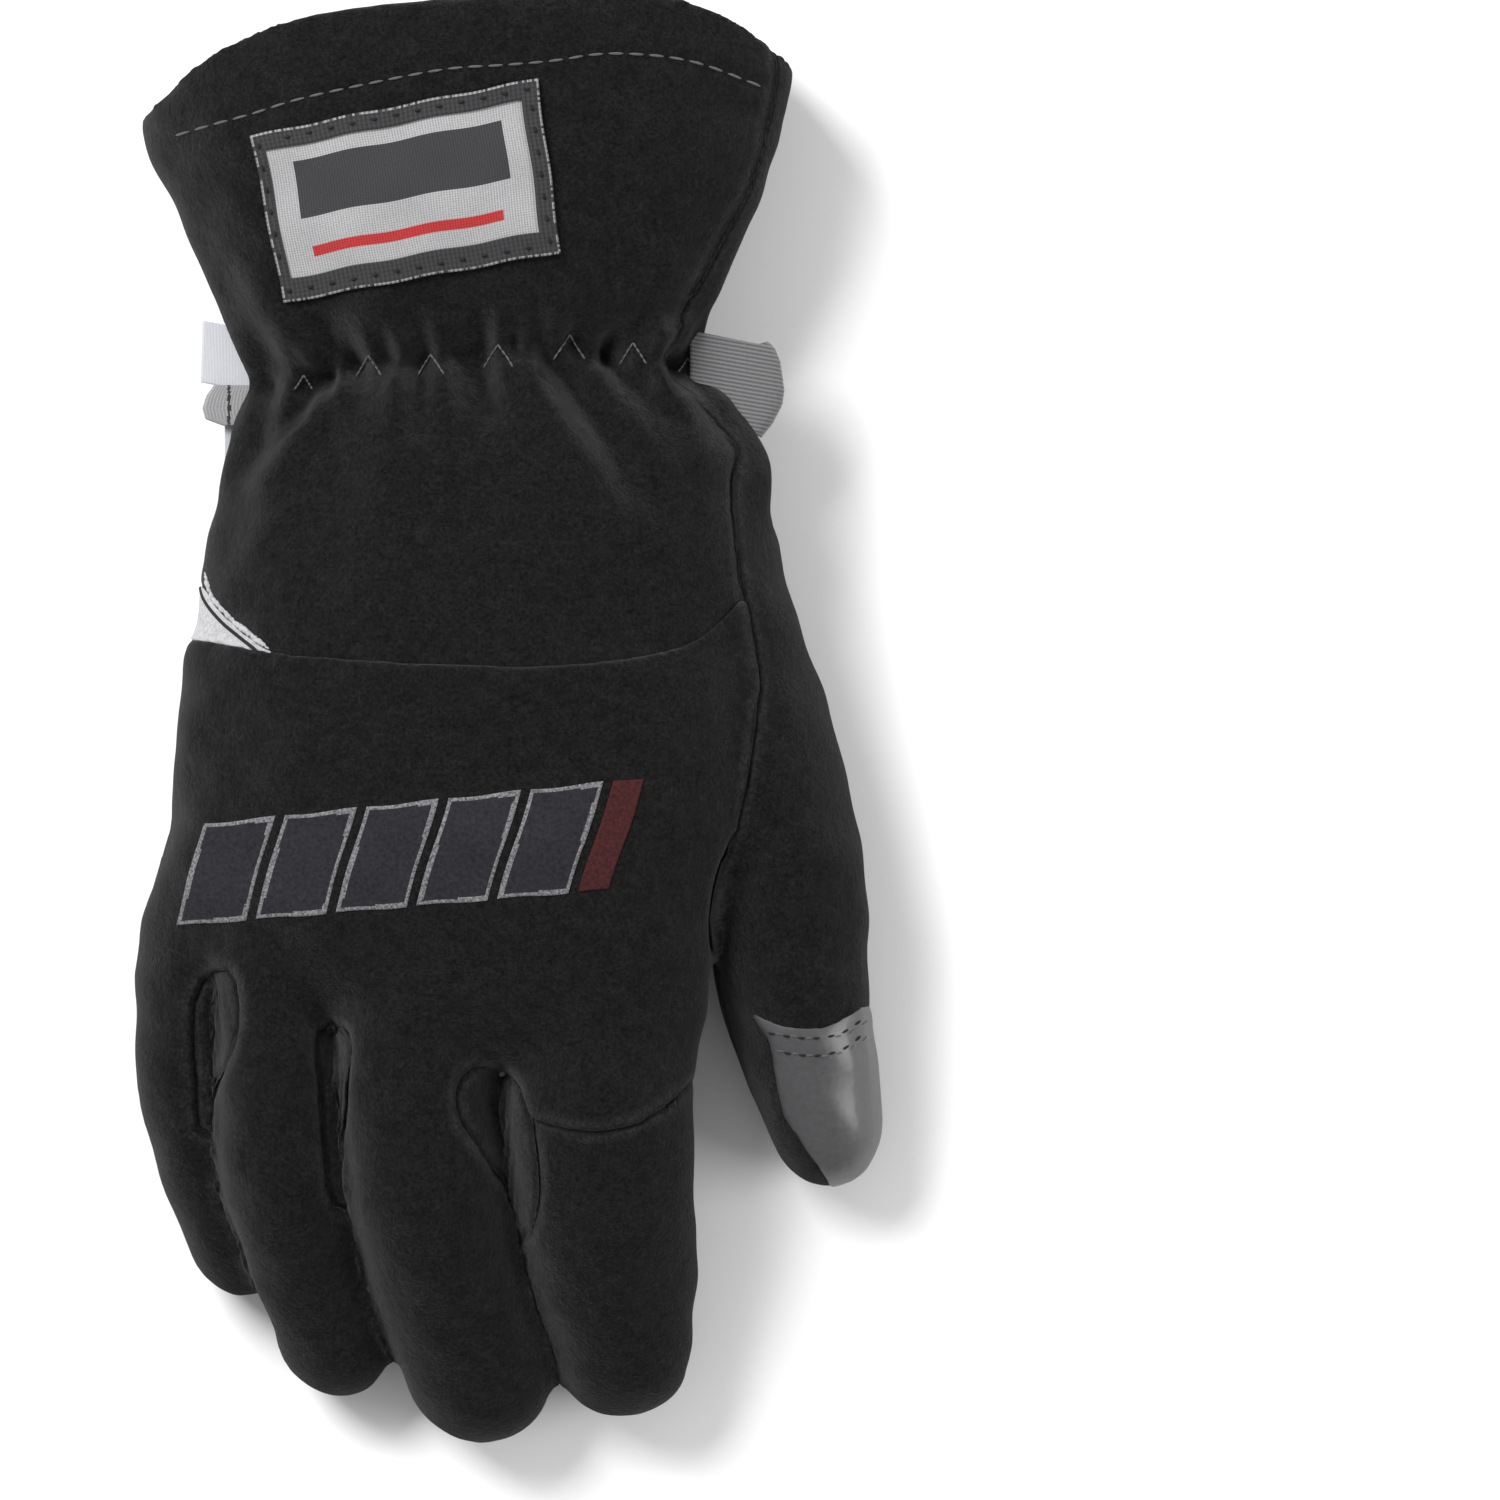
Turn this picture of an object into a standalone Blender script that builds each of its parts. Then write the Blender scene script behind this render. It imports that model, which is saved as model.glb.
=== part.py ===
"""A right-hand structural firefighting glove in black split leather, lying palm down.

Frame: metres, +Z up. The fingers point to -Y, the open cuff to +Y and the thumb side is +X. The origin is under
the middle of the glove's box, on the surface that it lies on. The tables below are in millimetres.

The hand is one hollow form: lofted sections of cuff and palm with five lofted fingers, less the same forms
drawn in by the wall. Seam cuts then part that wall into the leather panels that the real glove is sewn from.
"""

import math
from collections import namedtuple

import bmesh
import bpy
import numpy as np
from mathutils import Vector

MM = 0.001

# Driving dimensions, in millimetres.
WALL = 2.6  # leather with the layers bonded to it
HEM_WALL = 4.2  # the leather is turned in and doubled round the cuff's edge
SEAM_GAP = 0.4  # left between two sewn panels
SEAT_GAP = 0.3  # left under a piece that is sewn on top
FINGER_GAP = 1.3  # between fingers that lie against each other
OVERLAY_RAISE = 0.9  # the knuckle panel stands this much above the hand's back
STRIP_DROP = 1.0  # the pale strip lies this much below the hand's back
PATCH_THICK = 1.1
LABEL_THICK = 0.9
LABEL_BORDER = 3.6
PIPING_WIDTH = 1.2
TAG_THICK = 0.8
PULL_TAB_THICK = 3.2
SHARP_ANGLE = math.radians(40)  # shading breaks along edges sharper than this
FLAT_ANGLE = math.radians(3.6)  # facets that turn less than this are merged
PALM_ANGLE = math.radians(5.5)  # the same on the palm's side, where no piece lies on another
MERGE_DISTANCE = 0.02
CRUMB_VOLUME = 30.0  # cubic millimetres; less than this is a sliver that two cuts leave, not a panel
BELOW = -10.0  # under the surface that the glove lies on
OPEN_TOP = 70.0  # above everything, for a cut that comes down through the hand's back
FAR_OUT = 300.0  # further out than any part of the glove

# The cross-sections of cuff and palm.
RING_POINTS = 44
SQUARENESS = 2.25  # exponent of the section's superellipse
PLEATS = 11  # folds that the wrist elastic gathers, all the way round
PLEAT_VALLEY = math.radians(91)
RIM_SQUARENESS = 4  # how evenly the cuff's edge runs before it dips at the sides
RIM_MIDDLE = 1 / 3  # of the bulge, how far the middle of the closed end lies past its edge's mean

Section = namedtuple("Section", "x_left y_left x_right y_right z_low z_high bulge pleat skew")

# From the cuff's edge to the finger roots. bulge is how far the middle runs past the sides, pleat is the fold
# depth and skew lifts the index side over the little-finger side.
BODY = [
    Section(-72.3, 120.5, 57.8, 131.0, -1.0, 49.0, 18.0, 0.0, 0.0),
    Section(-71.0, 113.5, 56.8, 121.5, -1.0, 50.0, 15.5, 0.0, 0.0),
    Section(-66.5, 104.0, 52.4, 107.0, -1.0, 50.0, 10.0, 0.2, 0.0),
    Section(-61.0, 92.0, 46.0, 93.0, -0.5, 48.0, 5.0, 0.6, 0.0),
    Section(-55.7, 80.0, 41.0, 80.5, 1.5, 45.0, 1.5, 1.4, 0.0),
    Section(-50.0, 69.5, 39.2, 70.5, 3.0, 43.0, 0.0, 1.9, 0.0),
    Section(-54.4, 60.0, 47.4, 61.0, 1.8, 45.0, 0.0, 1.6, 0.0),
    Section(-56.2, 51.5, 52.6, 52.5, 0.3, 46.8, 0.0, 1.1, 0.0),
    Section(-57.4, 42.5, 53.0, 43.0, -0.8, 48.2, 0.0, 0.6, 0.0),
    Section(-60.4, 29.5, 51.6, 29.5, -1.5, 49.5, 0.0, 0.1, 0.0),
    Section(-63.8, 15.0, 51.0, 15.0, -1.5, 50.0, 0.0, 0.0, 0.5),
    Section(-65.4, -3.0, 50.4, -4.0, -1.5, 50.0, 0.0, 0.0, 1.5),
    Section(-67.4, -20.0, 47.2, -24.0, -0.5, 49.0, 0.0, 0.0, 3.0),
    Section(-71.4, -34.0, 42.6, -42.0, 2.0, 46.5, 0.0, 0.0, 4.0),
    Section(-71.8, -45.0, 39.6, -60.0, 6.0, 42.5, 0.0, 0.0, 5.0),
    Section(-67.0, -52.5, 36.0, -76.5, 12.0, 36.0, 0.0, 0.0, 5.0),
]
HEM_ROWS = 2  # the rows at the cuff's edge where the leather is doubled
MOUTH_OVERRUN = 12.0  # the hollow's cutter runs this far out past the cuff's edge
WEB_WALL = 3.2  # leather left at the finger roots

Fold = namedtuple("Fold", "x_top y_top x_end y_end depth")

# The main folds in the hand's back, from where each is deepest to where it runs out.
FOLDS = [
    Fold(-36.0, 68.0, -56.0, 44.0, 3.2),
    Fold(-20.0, 68.0, -24.0, 54.0, 1.6),
    Fold(-5.0, 68.5, -4.0, 54.0, 1.6),
    Fold(12.0, 69.0, 25.0, 44.0, 2.6),
    Fold(22.0, 70.0, 36.0, 50.0, 2.2),
    Fold(-34.0, 74.0, -52.0, 88.0, 2.4),
    Fold(10.0, 76.0, 4.0, 92.0, 1.8),
    Fold(24.0, 75.0, 32.0, 94.0, 2.4),
]
FOLD_WIDTH = 5.5

Station = namedtuple("Station", "x y z half_width half_height")

# Each finger's centreline, from inside the palm to near its tip, then the point of its tip.
FINGERS = {
    "little": (
        [
            Station(-59.4, -34.5, 20.5, 12.0, 13.0),
            Station(-61.6, -52.5, 18.5, 12.6, 12.6),
            Station(-62.4, -70.5, 16.2, 12.0, 12.0),
            Station(-59.4, -88.0, 13.0, 11.0, 11.6),
            Station(-55.0, -101.5, 10.2, 10.0, 10.6),
        ],
        (-50.6, -115.4, 8.4),
    ),
    "ring": (
        [
            Station(-47.0, -44.5, 25.0, 12.5, 14.0),
            Station(-46.0, -68.5, 25.4, 12.8, 13.8),
            Station(-44.1, -91.5, 21.8, 13.8, 13.4),
            Station(-40.0, -109.5, 15.6, 13.6, 12.8),
            Station(-34.8, -121.5, 11.6, 12.2, 12.0),
        ],
        (-29.6, -134.8, 8.8),
    ),
    "middle": (
        [
            Station(-19.0, -50.5, 28.0, 15.5, 15.0),
            Station(-17.8, -74.5, 28.0, 16.4, 15.2),
            Station(-15.2, -94.5, 24.2, 16.8, 15.0),
            Station(-11.0, -113.5, 17.6, 16.8, 14.4),
            Station(-5.2, -129.0, 12.6, 15.6, 13.2),
        ],
        (-0.7, -144.2, 9.2),
    ),
    "index": (
        [
            Station(19.6, -55.5, 28.5, 19.0, 14.6),
            Station(18.6, -78.5, 27.6, 19.6, 15.4),
            Station(19.4, -96.0, 23.6, 18.6, 15.0),
            Station(21.6, -112.0, 17.6, 17.4, 14.2),
            Station(23.2, -124.0, 12.8, 15.0, 13.2),
        ],
        (22.4, -139.4, 9.2),
    ),
    "thumb": (
        [
            Station(33.7, 47.5, 20.0, 15.0, 16.0),
            Station(38.2, 33.5, 19.8, 17.0, 18.0),
            Station(43.0, 12.5, 19.4, 17.4, 17.8),
            Station(50.0, -7.5, 18.8, 17.4, 17.2),
            Station(55.0, -28.0, 18.0, 16.8, 16.6),
            Station(57.9, -52.5, 16.0, 16.0, 15.2),
            Station(61.1, -69.5, 13.6, 13.6, 13.8),
            Station(64.0, -80.5, 12.0, 11.4, 12.2),
        ],
        (66.4, -93.0, 9.4),
    ),
}
PRESSED_PAIRS = [("little", "ring"), ("ring", "middle"), ("middle", "index")]
OUTER_FINGER_POINTS = 16
INNER_FINGER_POINTS = 12
TIP_SHARES = (0.45, 0.78, 0.95)  # of the way from the last station to the tip
LEAST_RADIUS = 0.4

Gusset = namedtuple("Gusset", "x y half_width deep_half_width z_low z_step z_high")

# The leather strip between each two fingers: from its rounded head on the hand's back, down along both facing
# walls. Above z_step the strip is as wide as it shows from above, and below it as wide as the walls it lines.
GUSSETS = {
    "gusset_little_ring": [
        Gusset(-55.7, -49.4, 1.2, 1.2, 12.0, 22.0, OPEN_TOP),
        Gusset(-56.8, -51.6, 3.6, 3.6, 11.0, 22.0, OPEN_TOP),
        Gusset(-57.6, -56.3, 4.9, 4.9, 10.0, 22.0, OPEN_TOP),
        Gusset(-57.9, -61.5, 5.0, 5.4, 10.0, 22.0, OPEN_TOP),
        Gusset(-58.7, -66.4, 4.1, 5.8, 10.0, 22.0, OPEN_TOP),
        Gusset(-59.8, -71.6, 2.6, 6.2, 9.6, 22.0, OPEN_TOP),
        Gusset(-60.0, -77.0, 1.9, 6.4, 9.2, 22.0, OPEN_TOP),
        Gusset(-59.6, -80.5, 1.6, 6.6, 8.8, 21.6, 32.0),
        Gusset(-59.0, -83.0, 1.0, 6.6, 8.4, 21.2, 21.6),
        Gusset(-56.4, -90.0, 1.0, 6.8, 6.8, 20.0, 20.4),
        Gusset(-52.6, -104.0, 1.0, 6.6, 5.6, 14.6, 15.0),
    ],
    "gusset_ring_middle": [
        Gusset(-34.3, -59.9, 1.0, 1.0, 15.0, 24.0, OPEN_TOP),
        Gusset(-34.2, -61.6, 2.8, 2.8, 14.0, 24.0, OPEN_TOP),
        Gusset(-34.0, -65.0, 3.6, 4.0, 14.0, 24.0, OPEN_TOP),
        Gusset(-34.2, -72.0, 2.8, 5.2, 14.0, 24.0, OPEN_TOP),
        Gusset(-34.1, -84.0, 2.2, 6.2, 13.4, 24.0, OPEN_TOP),
        Gusset(-33.6, -92.0, 1.8, 6.6, 12.6, 24.0, OPEN_TOP),
        Gusset(-32.9, -96.0, 1.4, 6.6, 12.0, 23.4, 34.0),
        Gusset(-32.2, -98.5, 1.0, 6.8, 11.4, 22.6, 23.0),
        Gusset(-28.8, -106.0, 1.0, 7.0, 8.5, 22.0, 22.4),
        Gusset(-24.4, -122.0, 1.0, 7.0, 5.5, 15.6, 16.0),
    ],
    "gusset_middle_index": [
        Gusset(-3.5, -68.2, 1.6, 1.6, 15.0, 26.0, OPEN_TOP),
        Gusset(-3.4, -70.2, 4.6, 4.6, 14.0, 26.0, OPEN_TOP),
        Gusset(-3.1, -74.0, 6.6, 6.6, 14.0, 26.0, OPEN_TOP),
        Gusset(-1.7, -79.0, 7.2, 7.2, 14.0, 26.0, OPEN_TOP),
        Gusset(1.4, -86.6, 5.2, 6.6, 13.4, 26.0, OPEN_TOP),
        Gusset(3.3, -92.0, 3.5, 6.8, 12.5, 25.6, OPEN_TOP),
        Gusset(3.8, -97.0, 2.8, 6.8, 11.4, 25.0, OPEN_TOP),
        Gusset(3.8, -101.0, 1.6, 6.8, 10.6, 24.4, 34.0),
        Gusset(3.8, -103.5, 1.0, 7.0, 9.8, 23.6, 24.0),
        Gusset(4.0, -109.0, 1.0, 7.0, 8.0, 22.4, 22.8),
        Gusset(8.3, -123.0, 1.0, 7.0, 5.5, 15.6, 16.0),
    ],
}

SheetRow = namedtuple("SheetRow", "y x_left x_right z_left z_right")

# Seams that run along the glove's sides, each a thin sheet that crosses only the walls it parts.
SIDE_SEAMS = {
    "little_finger_side": [
        SheetRow(160.0, -95.0, -4.0, 21.0, 21.0),
        SheetRow(0.0, -95.0, -4.0, 21.0, 21.0),
        SheetRow(-19.0, -95.0, -4.0, 19.6, 20.8),
        SheetRow(-20.0, -95.0, 46.1, 19.5, 22.3),
        SheetRow(-28.0, -95.0, 44.0, 19.0, 22.3),
        SheetRow(-34.0, -95.0, 42.2, 18.5, 22.3),
        SheetRow(-75.0, -95.0, 41.6, 14.0, 20.4),
        SheetRow(-95.0, -95.0, 41.6, 10.0, 16.4),
        SheetRow(-115.0, -95.0, 41.6, 7.0, 10.6),
        SheetRow(-126.0, -95.0, 41.6, 6.4, 8.2),
        SheetRow(-155.0, -95.0, 41.6, 6.4, 6.4),
    ],
    "thumb_crotch_side": [
        SheetRow(-20.0, 45.7, 56.0, 21.5, 21.5),
        SheetRow(-28.0, 43.4, 56.0, 21.5, 21.5),
        SheetRow(-34.0, 41.6, 56.0, 21.5, 21.5),
        SheetRow(-56.0, 41.0, 58.0, 20.0, 20.0),
        SheetRow(-72.0, 41.0, 62.0, 15.0, 15.0),
        SheetRow(-84.0, 41.0, 66.0, 11.5, 11.5),
        SheetRow(-88.0, 41.0, 71.0, 10.5, 10.5),
        SheetRow(-104.0, 41.0, 71.0, 10.0, 10.0),
    ],
    "cuff_thumb_side": [
        SheetRow(170.0, -4.0, 90.0, 33.0, 33.0),
        SheetRow(46.5, -4.0, 90.0, 33.0, 33.0),
    ],
}

Seam = namedtuple("Seam", "points z_low z_high width")
PATH_STEPS = 3  # points on a seam's curve for each of its own
PALM_WALL = ((BELOW, BELOW), (20.5, 20.5))  # a cut between these heights goes through the palm side only

# Seams that run across the back or the palm: their way seen from above, and the heights that the cut reaches at
# its start and its end.
SEAMS = {
    "thumb_to_back": Seam(
        [(45.9, 57.3), (46.6, 54.0), (45.6, 48.0), (45.9, 41.0), (46.2, 35.0), (46.4, 28.0), (47.6, 22.5),
         (49.6, 15.0), (50.4, 8.0), (49.8, 0.0), (48.6, -6.0), (46.2, -19.0), (43.8, -28.0), (42.0, -34.0),
         (41.5, -43.0), (41.3, -50.0), (41.3, -64.0)],
        (19.0, 18.0), (OPEN_TOP, OPEN_TOP), SEAM_GAP,
    ),
    "palm_middle": Seam(
        [(0.0, 160.0), (1.0, 130.0), (5.0, 85.0), (7.1, 76.0), (13.1, 64.0), (20.2, 51.4)],
        *PALM_WALL, SEAM_GAP,
    ),
    "thumb_inset": Seam(
        [(21.2, 52.6), (13.0, 51.0), (3.0, 43.0), (-3.0, 33.5), (-6.9, 22.5), (-7.3, 9.5), (-2.0, -4.5),
         (5.1, -13.5), (15.1, -20.0), (24.1, -24.0), (32.0, -26.8), (38.0, -29.8), (42.0, -34.0),
         (41.5, -43.0), (41.3, -50.0), (41.3, -64.0)],
        (BELOW, BELOW), (22.5, 22.5), SEAM_GAP,
    ),
    "thumb_outer": Seam(
        [(18.6, 53.0), (29.1, 41.5), (39.1, 26.5), (47.1, 10.5), (54.1, -7.5), (60.4, -23.5), (65.0, -39.0),
         (67.6, -53.0), (69.0, -68.0), (69.2, -82.0), (68.6, -104.0)],
        (BELOW, BELOW), (13.0, 13.0), SEAM_GAP,
    ),
    "knuckle_edge": Seam(
        [(-80.0, 17.5), (-63.7, 16.2), (-42.0, 12.6), (-5.0, 10.2), (19.0, 11.0), (36.0, 14.2), (43.0, 19.1),
         (48.2, 26.2)], (18.5, 30.0), (OPEN_TOP, OPEN_TOP), SEAM_GAP,
    ),
    "strip_edge": Seam(
        [(-68.0, 34.0), (-60.4, 28.6), (-55.3, 20.9), (-45.0, 13.8), (-38.0, 10.5)],
        (17.0, 26.0), (OPEN_TOP, OPEN_TOP), SEAM_GAP,
    ),
    "index_root": Seam(
        [(0.0, -76.5), (6.0, -78.6), (17.0, -81.0), (27.0, -79.0), (37.0, -72.2), (46.0, -66.0)],
        (30.0, 15.5), (OPEN_TOP, OPEN_TOP), SEAM_GAP,
    ),
}
PIPING_WAY = [(-6.6, 15.0), (-7.3, 9.5), (-2.0, -4.5), (5.1, -13.5), (15.1, -20.0), (24.1, -24.0)]

# A point on each panel that the cuts set free.
PANEL_SEEDS = {
    "back_panel": (0.0, 100.0, 49.0),
    "pale_strip": (-60.0, 20.0, 38.0),
    "knuckle_panel": (0.0, -20.0, 51.0),
    "index_back": (20.0, -100.0, 38.0),
    "palm_panel": (-30.0, 20.0, 0.0),
    "thumb_palm": (20.0, 20.0, 0.0),
    "thumb_side": (60.0, -20.0, 35.0),
}

# The woven label sewn to the cuff, seen from above: lower left, lower right, upper right, upper left.
LABEL_CORNERS = [(-43.7, 83.3), (11.7, 93.1), (7.1, 127.5), (-50.1, 116.3)]
LABEL_LOW = 25.0  # the label's outline cuts the cuff's upper side, above this height

# The smooth patch on the thumb's tip, seen from above, and the height that its lower edges reach.
PATCH_OUTLINE = [(47.0, -57.0), (55.0, -60.6), (61.3, -60.9), (66.7, -59.3), (72.7, -54.9), (82.0, -50.0),
                 (82.0, -100.0), (68.6, -100.0), (63.8, -90.6), (56.1, -79.1), (53.3, -69.3), (52.0, -64.0)]
PATCH_LOW = 11.0

Tag = namedtuple("Tag", "outline z thick")

# Cloth tags sewn into the side seams at the wrist, seen from above. Each is cut off where it meets the leather.
TAGS = {
    "size_tag": Tag([(-60.5, 80.5), (-60.9, 68.3), (-56.8, 66.0), (-56.8, 54.0), (-55.9, 54.0), (-54.5, 60.0),
                     (-50.7, 69.0), (-50.7, 70.1), (-56.1, 80.3)], 21.5, TAG_THICK),
    "care_tag": Tag([(-58.2, 67.6), (-60.3, 65.4), (-60.3, 62.0), (-58.8, 60.4), (-54.0, 59.0), (-40.0, 57.0),
                     (-40.0, 68.4)], 23.5, 2 * TAG_THICK),
    "pull_tab": Tag([(30.0, 79.2), (42.7, 77.1), (51.7, 75.7), (53.7, 73.5), (54.7, 65.5), (53.4, 62.0),
                     (50.7, 58.4), (30.0, 58.4)], 24.0, PULL_TAB_THICK),
}

Finish = namedtuple("Finish", "colour roughness")
LEATHER = Finish((0.022, 0.022, 0.024), 0.95)
FINISHES = {
    "thumb_patch": Finish((0.16, 0.16, 0.165), 0.45),
    "pale_strip": Finish((0.62, 0.62, 0.64), 0.85),
    "thumb_piping": Finish((0.5, 0.5, 0.5), 0.85),
    "cuff_label": Finish((0.42, 0.42, 0.43), 0.8),
    "label_border": Finish((0.06, 0.06, 0.065), 0.7),
    "size_tag": Finish((0.75, 0.76, 0.8), 0.8),
    "care_tag": Finish((0.45, 0.45, 0.45), 0.7),
    "pull_tab": Finish((0.2, 0.2, 0.2), 0.7),
}


def clear_scene():
    """Removes whatever the file opened with, so that only the glove is left."""
    for obj in list(bpy.data.objects):
        bpy.data.objects.remove(obj)


def smooth_path(rows, steps):
    """Points on a Catmull-Rom curve through rows of numbers, with this many steps to an interval."""
    rows = np.array(rows, float)
    ends = np.vstack([2 * rows[0] - rows[1], rows, 2 * rows[-1] - rows[-2]])
    path = []
    for i in range(1, len(ends) - 2):
        before, start, end, after = ends[i - 1 : i + 3]
        for k in range(steps):
            t = k / steps
            path.append(
                0.5 * (
                    2 * start + (end - before) * t + (2 * before - 5 * start + 4 * end - after) * t**2
                    + (3 * start - before - 3 * end + after) * t**3
                )
            )
    path.append(ends[-2])
    return np.array(path)


def loft(name, rings, centres=(None, None)):
    """A closed mesh object through rings of equal count, in millimetres. A centre turns an end into a fan."""
    bm = bmesh.new()
    layers = [[bm.verts.new([c * MM for c in point]) for point in ring] for ring in rings]
    count = len(rings[0])
    for low, high in zip(layers, layers[1:]):
        for j in range(count):
            k = (j + 1) % count
            bm.faces.new((low[j], low[k], high[k], high[j]))
    for layer, centre in zip((layers[0], layers[-1]), centres):
        if centre is None:
            bm.faces.new(layer)
            continue
        middle = bm.verts.new([c * MM for c in centre])
        for j in range(count):
            bm.faces.new((layer[j], layer[(j + 1) % count], middle))
    bmesh.ops.triangulate(bm, faces=bm.faces)
    bmesh.ops.recalc_face_normals(bm, faces=bm.faces)
    mesh = bpy.data.meshes.new(name)
    bm.to_mesh(mesh)
    bm.free()
    obj = bpy.data.objects.new(name, mesh)
    bpy.context.scene.collection.objects.link(obj)
    return obj


def combine(target, other, operation):
    """Applies a Boolean to the target and removes the other object. Walls that nearly meet need this solver."""
    modifier = target.modifiers.new(operation.title(), "BOOLEAN")
    modifier.object = other
    modifier.operation = operation
    modifier.solver = "MANIFOLD"
    bpy.context.view_layer.update()
    evaluated = target.evaluated_get(bpy.context.evaluated_depsgraph_get())
    mesh = bpy.data.meshes.new_from_object(evaluated)
    target.modifiers.clear()
    target.data = mesh
    bpy.data.objects.remove(other)
    return target


def duplicate(obj, name):
    copy = bpy.data.objects.new(name, obj.data.copy())
    bpy.context.scene.collection.objects.link(copy)
    return copy


def prism(name, outline, z_low, z_high):
    """An upright block with this outline seen from above."""
    return loft(name, [[(x, y, z) for x, y in outline] for z in (z_low, z_high)])


def blade(name, path, width, z_low, z_high):
    """An upright strip of this width along a way seen from above. Each height runs evenly from start to end."""
    path = np.array(path, float)
    along = np.gradient(path, axis=0)
    aside = np.stack([-along[:, 1], along[:, 0]], axis=1)
    aside *= (width / 2) / np.linalg.norm(aside, axis=1, keepdims=True)
    lows, highs = np.linspace(*z_low, len(path)), np.linspace(*z_high, len(path))
    rings = [
        [(*left, low), (*right, low), (*right, high), (*left, high)]
        for left, right, low, high in zip(path - aside, path + aside, lows, highs)
    ]
    return loft(name, rings)


def seam_sheet(name, rows):
    """A thin sheet through rows that run across the glove."""
    half = SEAM_GAP / 2
    rings = [
        [
            (row.x_left, row.y, row.z_left - half), (row.x_right, row.y, row.z_right - half),
            (row.x_right, row.y, row.z_right + half), (row.x_left, row.y, row.z_left + half),
        ]
        for row in rows
    ]
    return loft(name, rings)


def power(value, exponent):
    return math.copysign(abs(value) ** exponent, value)


def fold_depth(x, y):
    """How far the folds of the hand's back sink the leather at a place seen from above."""
    sunk = 0.0
    for fold in FOLDS:
        top = np.array((fold.x_top, fold.y_top))
        run = np.array((fold.x_end, fold.y_end)) - top
        share = np.dot((x, y) - top, run) / np.dot(run, run)
        held = min(max(share, 0.0), 1.0)
        apart = np.linalg.norm((x, y) - (top + held * run))
        sunk += fold.depth * (1 - held) * math.exp(-((apart / FOLD_WIDTH) ** 2))
    return sunk


def body_ring(section, grow):
    """One closed section of cuff or palm. grow moves the surface out."""
    middle_x = (section.x_left + section.x_right) / 2
    middle_y = (section.y_left + section.y_right) / 2
    middle_z = (section.z_low + section.z_high) / 2
    half_width = (section.x_right - section.x_left) / 2 + grow
    half_height = (section.z_high - section.z_low) / 2 + grow
    ring = []
    for j in range(RING_POINTS):
        angle = PLEAT_VALLEY + 2 * math.pi * j / RING_POINTS
        across = power(math.cos(angle), 2 / SQUARENESS)
        up = power(math.sin(angle), 2 / SQUARENESS)
        pleat = section.pleat * math.cos(PLEATS * (angle - PLEAT_VALLEY))
        x = middle_x + (half_width - pleat) * across
        y = middle_y + (section.y_right - section.y_left) / 2 * across
        y += section.bulge * (1 - abs(across) ** RIM_SQUARENESS)
        sunk = fold_depth(x, y) * max(up, 0.0)
        ring.append((x, y, middle_z + (half_height - pleat) * up - sunk + section.skew * across))
    return ring


def ring_centre(ring):
    return tuple(np.mean(np.array(ring), axis=0))


def outer_body(grow):
    rings = [body_ring(section, grow) for section in BODY]
    middle = ring_centre(rings[0])
    rim_middle = (middle[0], middle[1] + BODY[0].bulge * RIM_MIDDLE, middle[2])
    return loft("outer_body", rings, (rim_middle, ring_centre(rings[-1])))


def inner_body():
    """The hollow of cuff and palm, which runs out past the cuff's edge and stops short of the finger roots."""
    rings = [body_ring(section, -HEM_WALL if i < HEM_ROWS else -WALL) for i, section in enumerate(BODY)]
    rings[-1] = [(x, y + WEB_WALL, z) for x, y, z in rings[-1]]
    beyond = [(x, y + MOUTH_OVERRUN, z) for x, y, z in rings[0]]
    rings.insert(0, beyond)
    return loft("inner_body", rings, (ring_centre(beyond), ring_centre(rings[-1])))


def centre_at(finger, y):
    """The finger's centre and mean radius where its centreline passes this y."""
    path = smooth_path(FINGERS[finger][0], 2 * PATH_STEPS)
    order = np.argsort(path[:, 1])
    x, z, half_width, half_height = (np.interp(y, path[order, 1], path[order, k]) for k in (0, 2, 3, 4))
    return Vector((x, y, z)), (half_width + half_height) / 2


def press(point, finger, centre, radius, grow):
    """Moves a point back to the plane where this finger meets the one beside it."""
    for pair in PRESSED_PAIRS:
        if finger not in pair:
            continue
        other = pair[1] if finger == pair[0] else pair[0]
        there, other_radius = centre_at(other, centre.y)
        toward = there - centre
        limit = toward.length * radius / (radius + other_radius) - FINGER_GAP / 2 + min(grow, 0.0)
        toward.normalize()
        excess = (point - centre).dot(toward) - limit
        if excess > 0:
            point = point - toward * excess
    return point


def finger_form(finger, grow):
    """A finger's closed form along its centreline, flattened against its neighbours and rounded at the tip."""
    stations, tip = FINGERS[finger]
    last = stations[-1]
    base = Vector(last[:3])
    reach = Vector(tip) - base
    reach *= 1 + grow / reach.length
    centres = [Vector(row[:3]) for row in stations] + [base + reach * share for share in TIP_SHARES]
    shrinks = [1.0] * len(stations) + [math.sqrt(1 - share**2) for share in TIP_SHARES]
    sizes = [(row.half_width, row.half_height) for row in stations] + [last[3:]] * len(TIP_SHARES)
    count = OUTER_FINGER_POINTS if grow >= 0 else INNER_FINGER_POINTS
    rings = []
    for i, (centre, shrink, (half_width, half_height)) in enumerate(zip(centres, shrinks, sizes)):
        ahead = centres[min(i + 1, len(centres) - 1)] - centres[max(i - 1, 0)]
        ahead.normalize()
        side = ahead.cross(Vector((0, 0, 1))).normalized()
        up = side.cross(ahead)
        a = max((half_width + grow) * shrink, LEAST_RADIUS)
        b = max((half_height + grow) * shrink, LEAST_RADIUS)
        ring = []
        for j in range(count):
            angle = 2 * math.pi * (j + 0.5) / count
            point = centre + side * (a * math.cos(angle)) + up * (b * math.sin(angle))
            ring.append(press(point, finger, centre, (half_width + half_height) / 2, grow))
        rings.append(ring)
    return loft(finger, rings, (None, base + reach))


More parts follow.
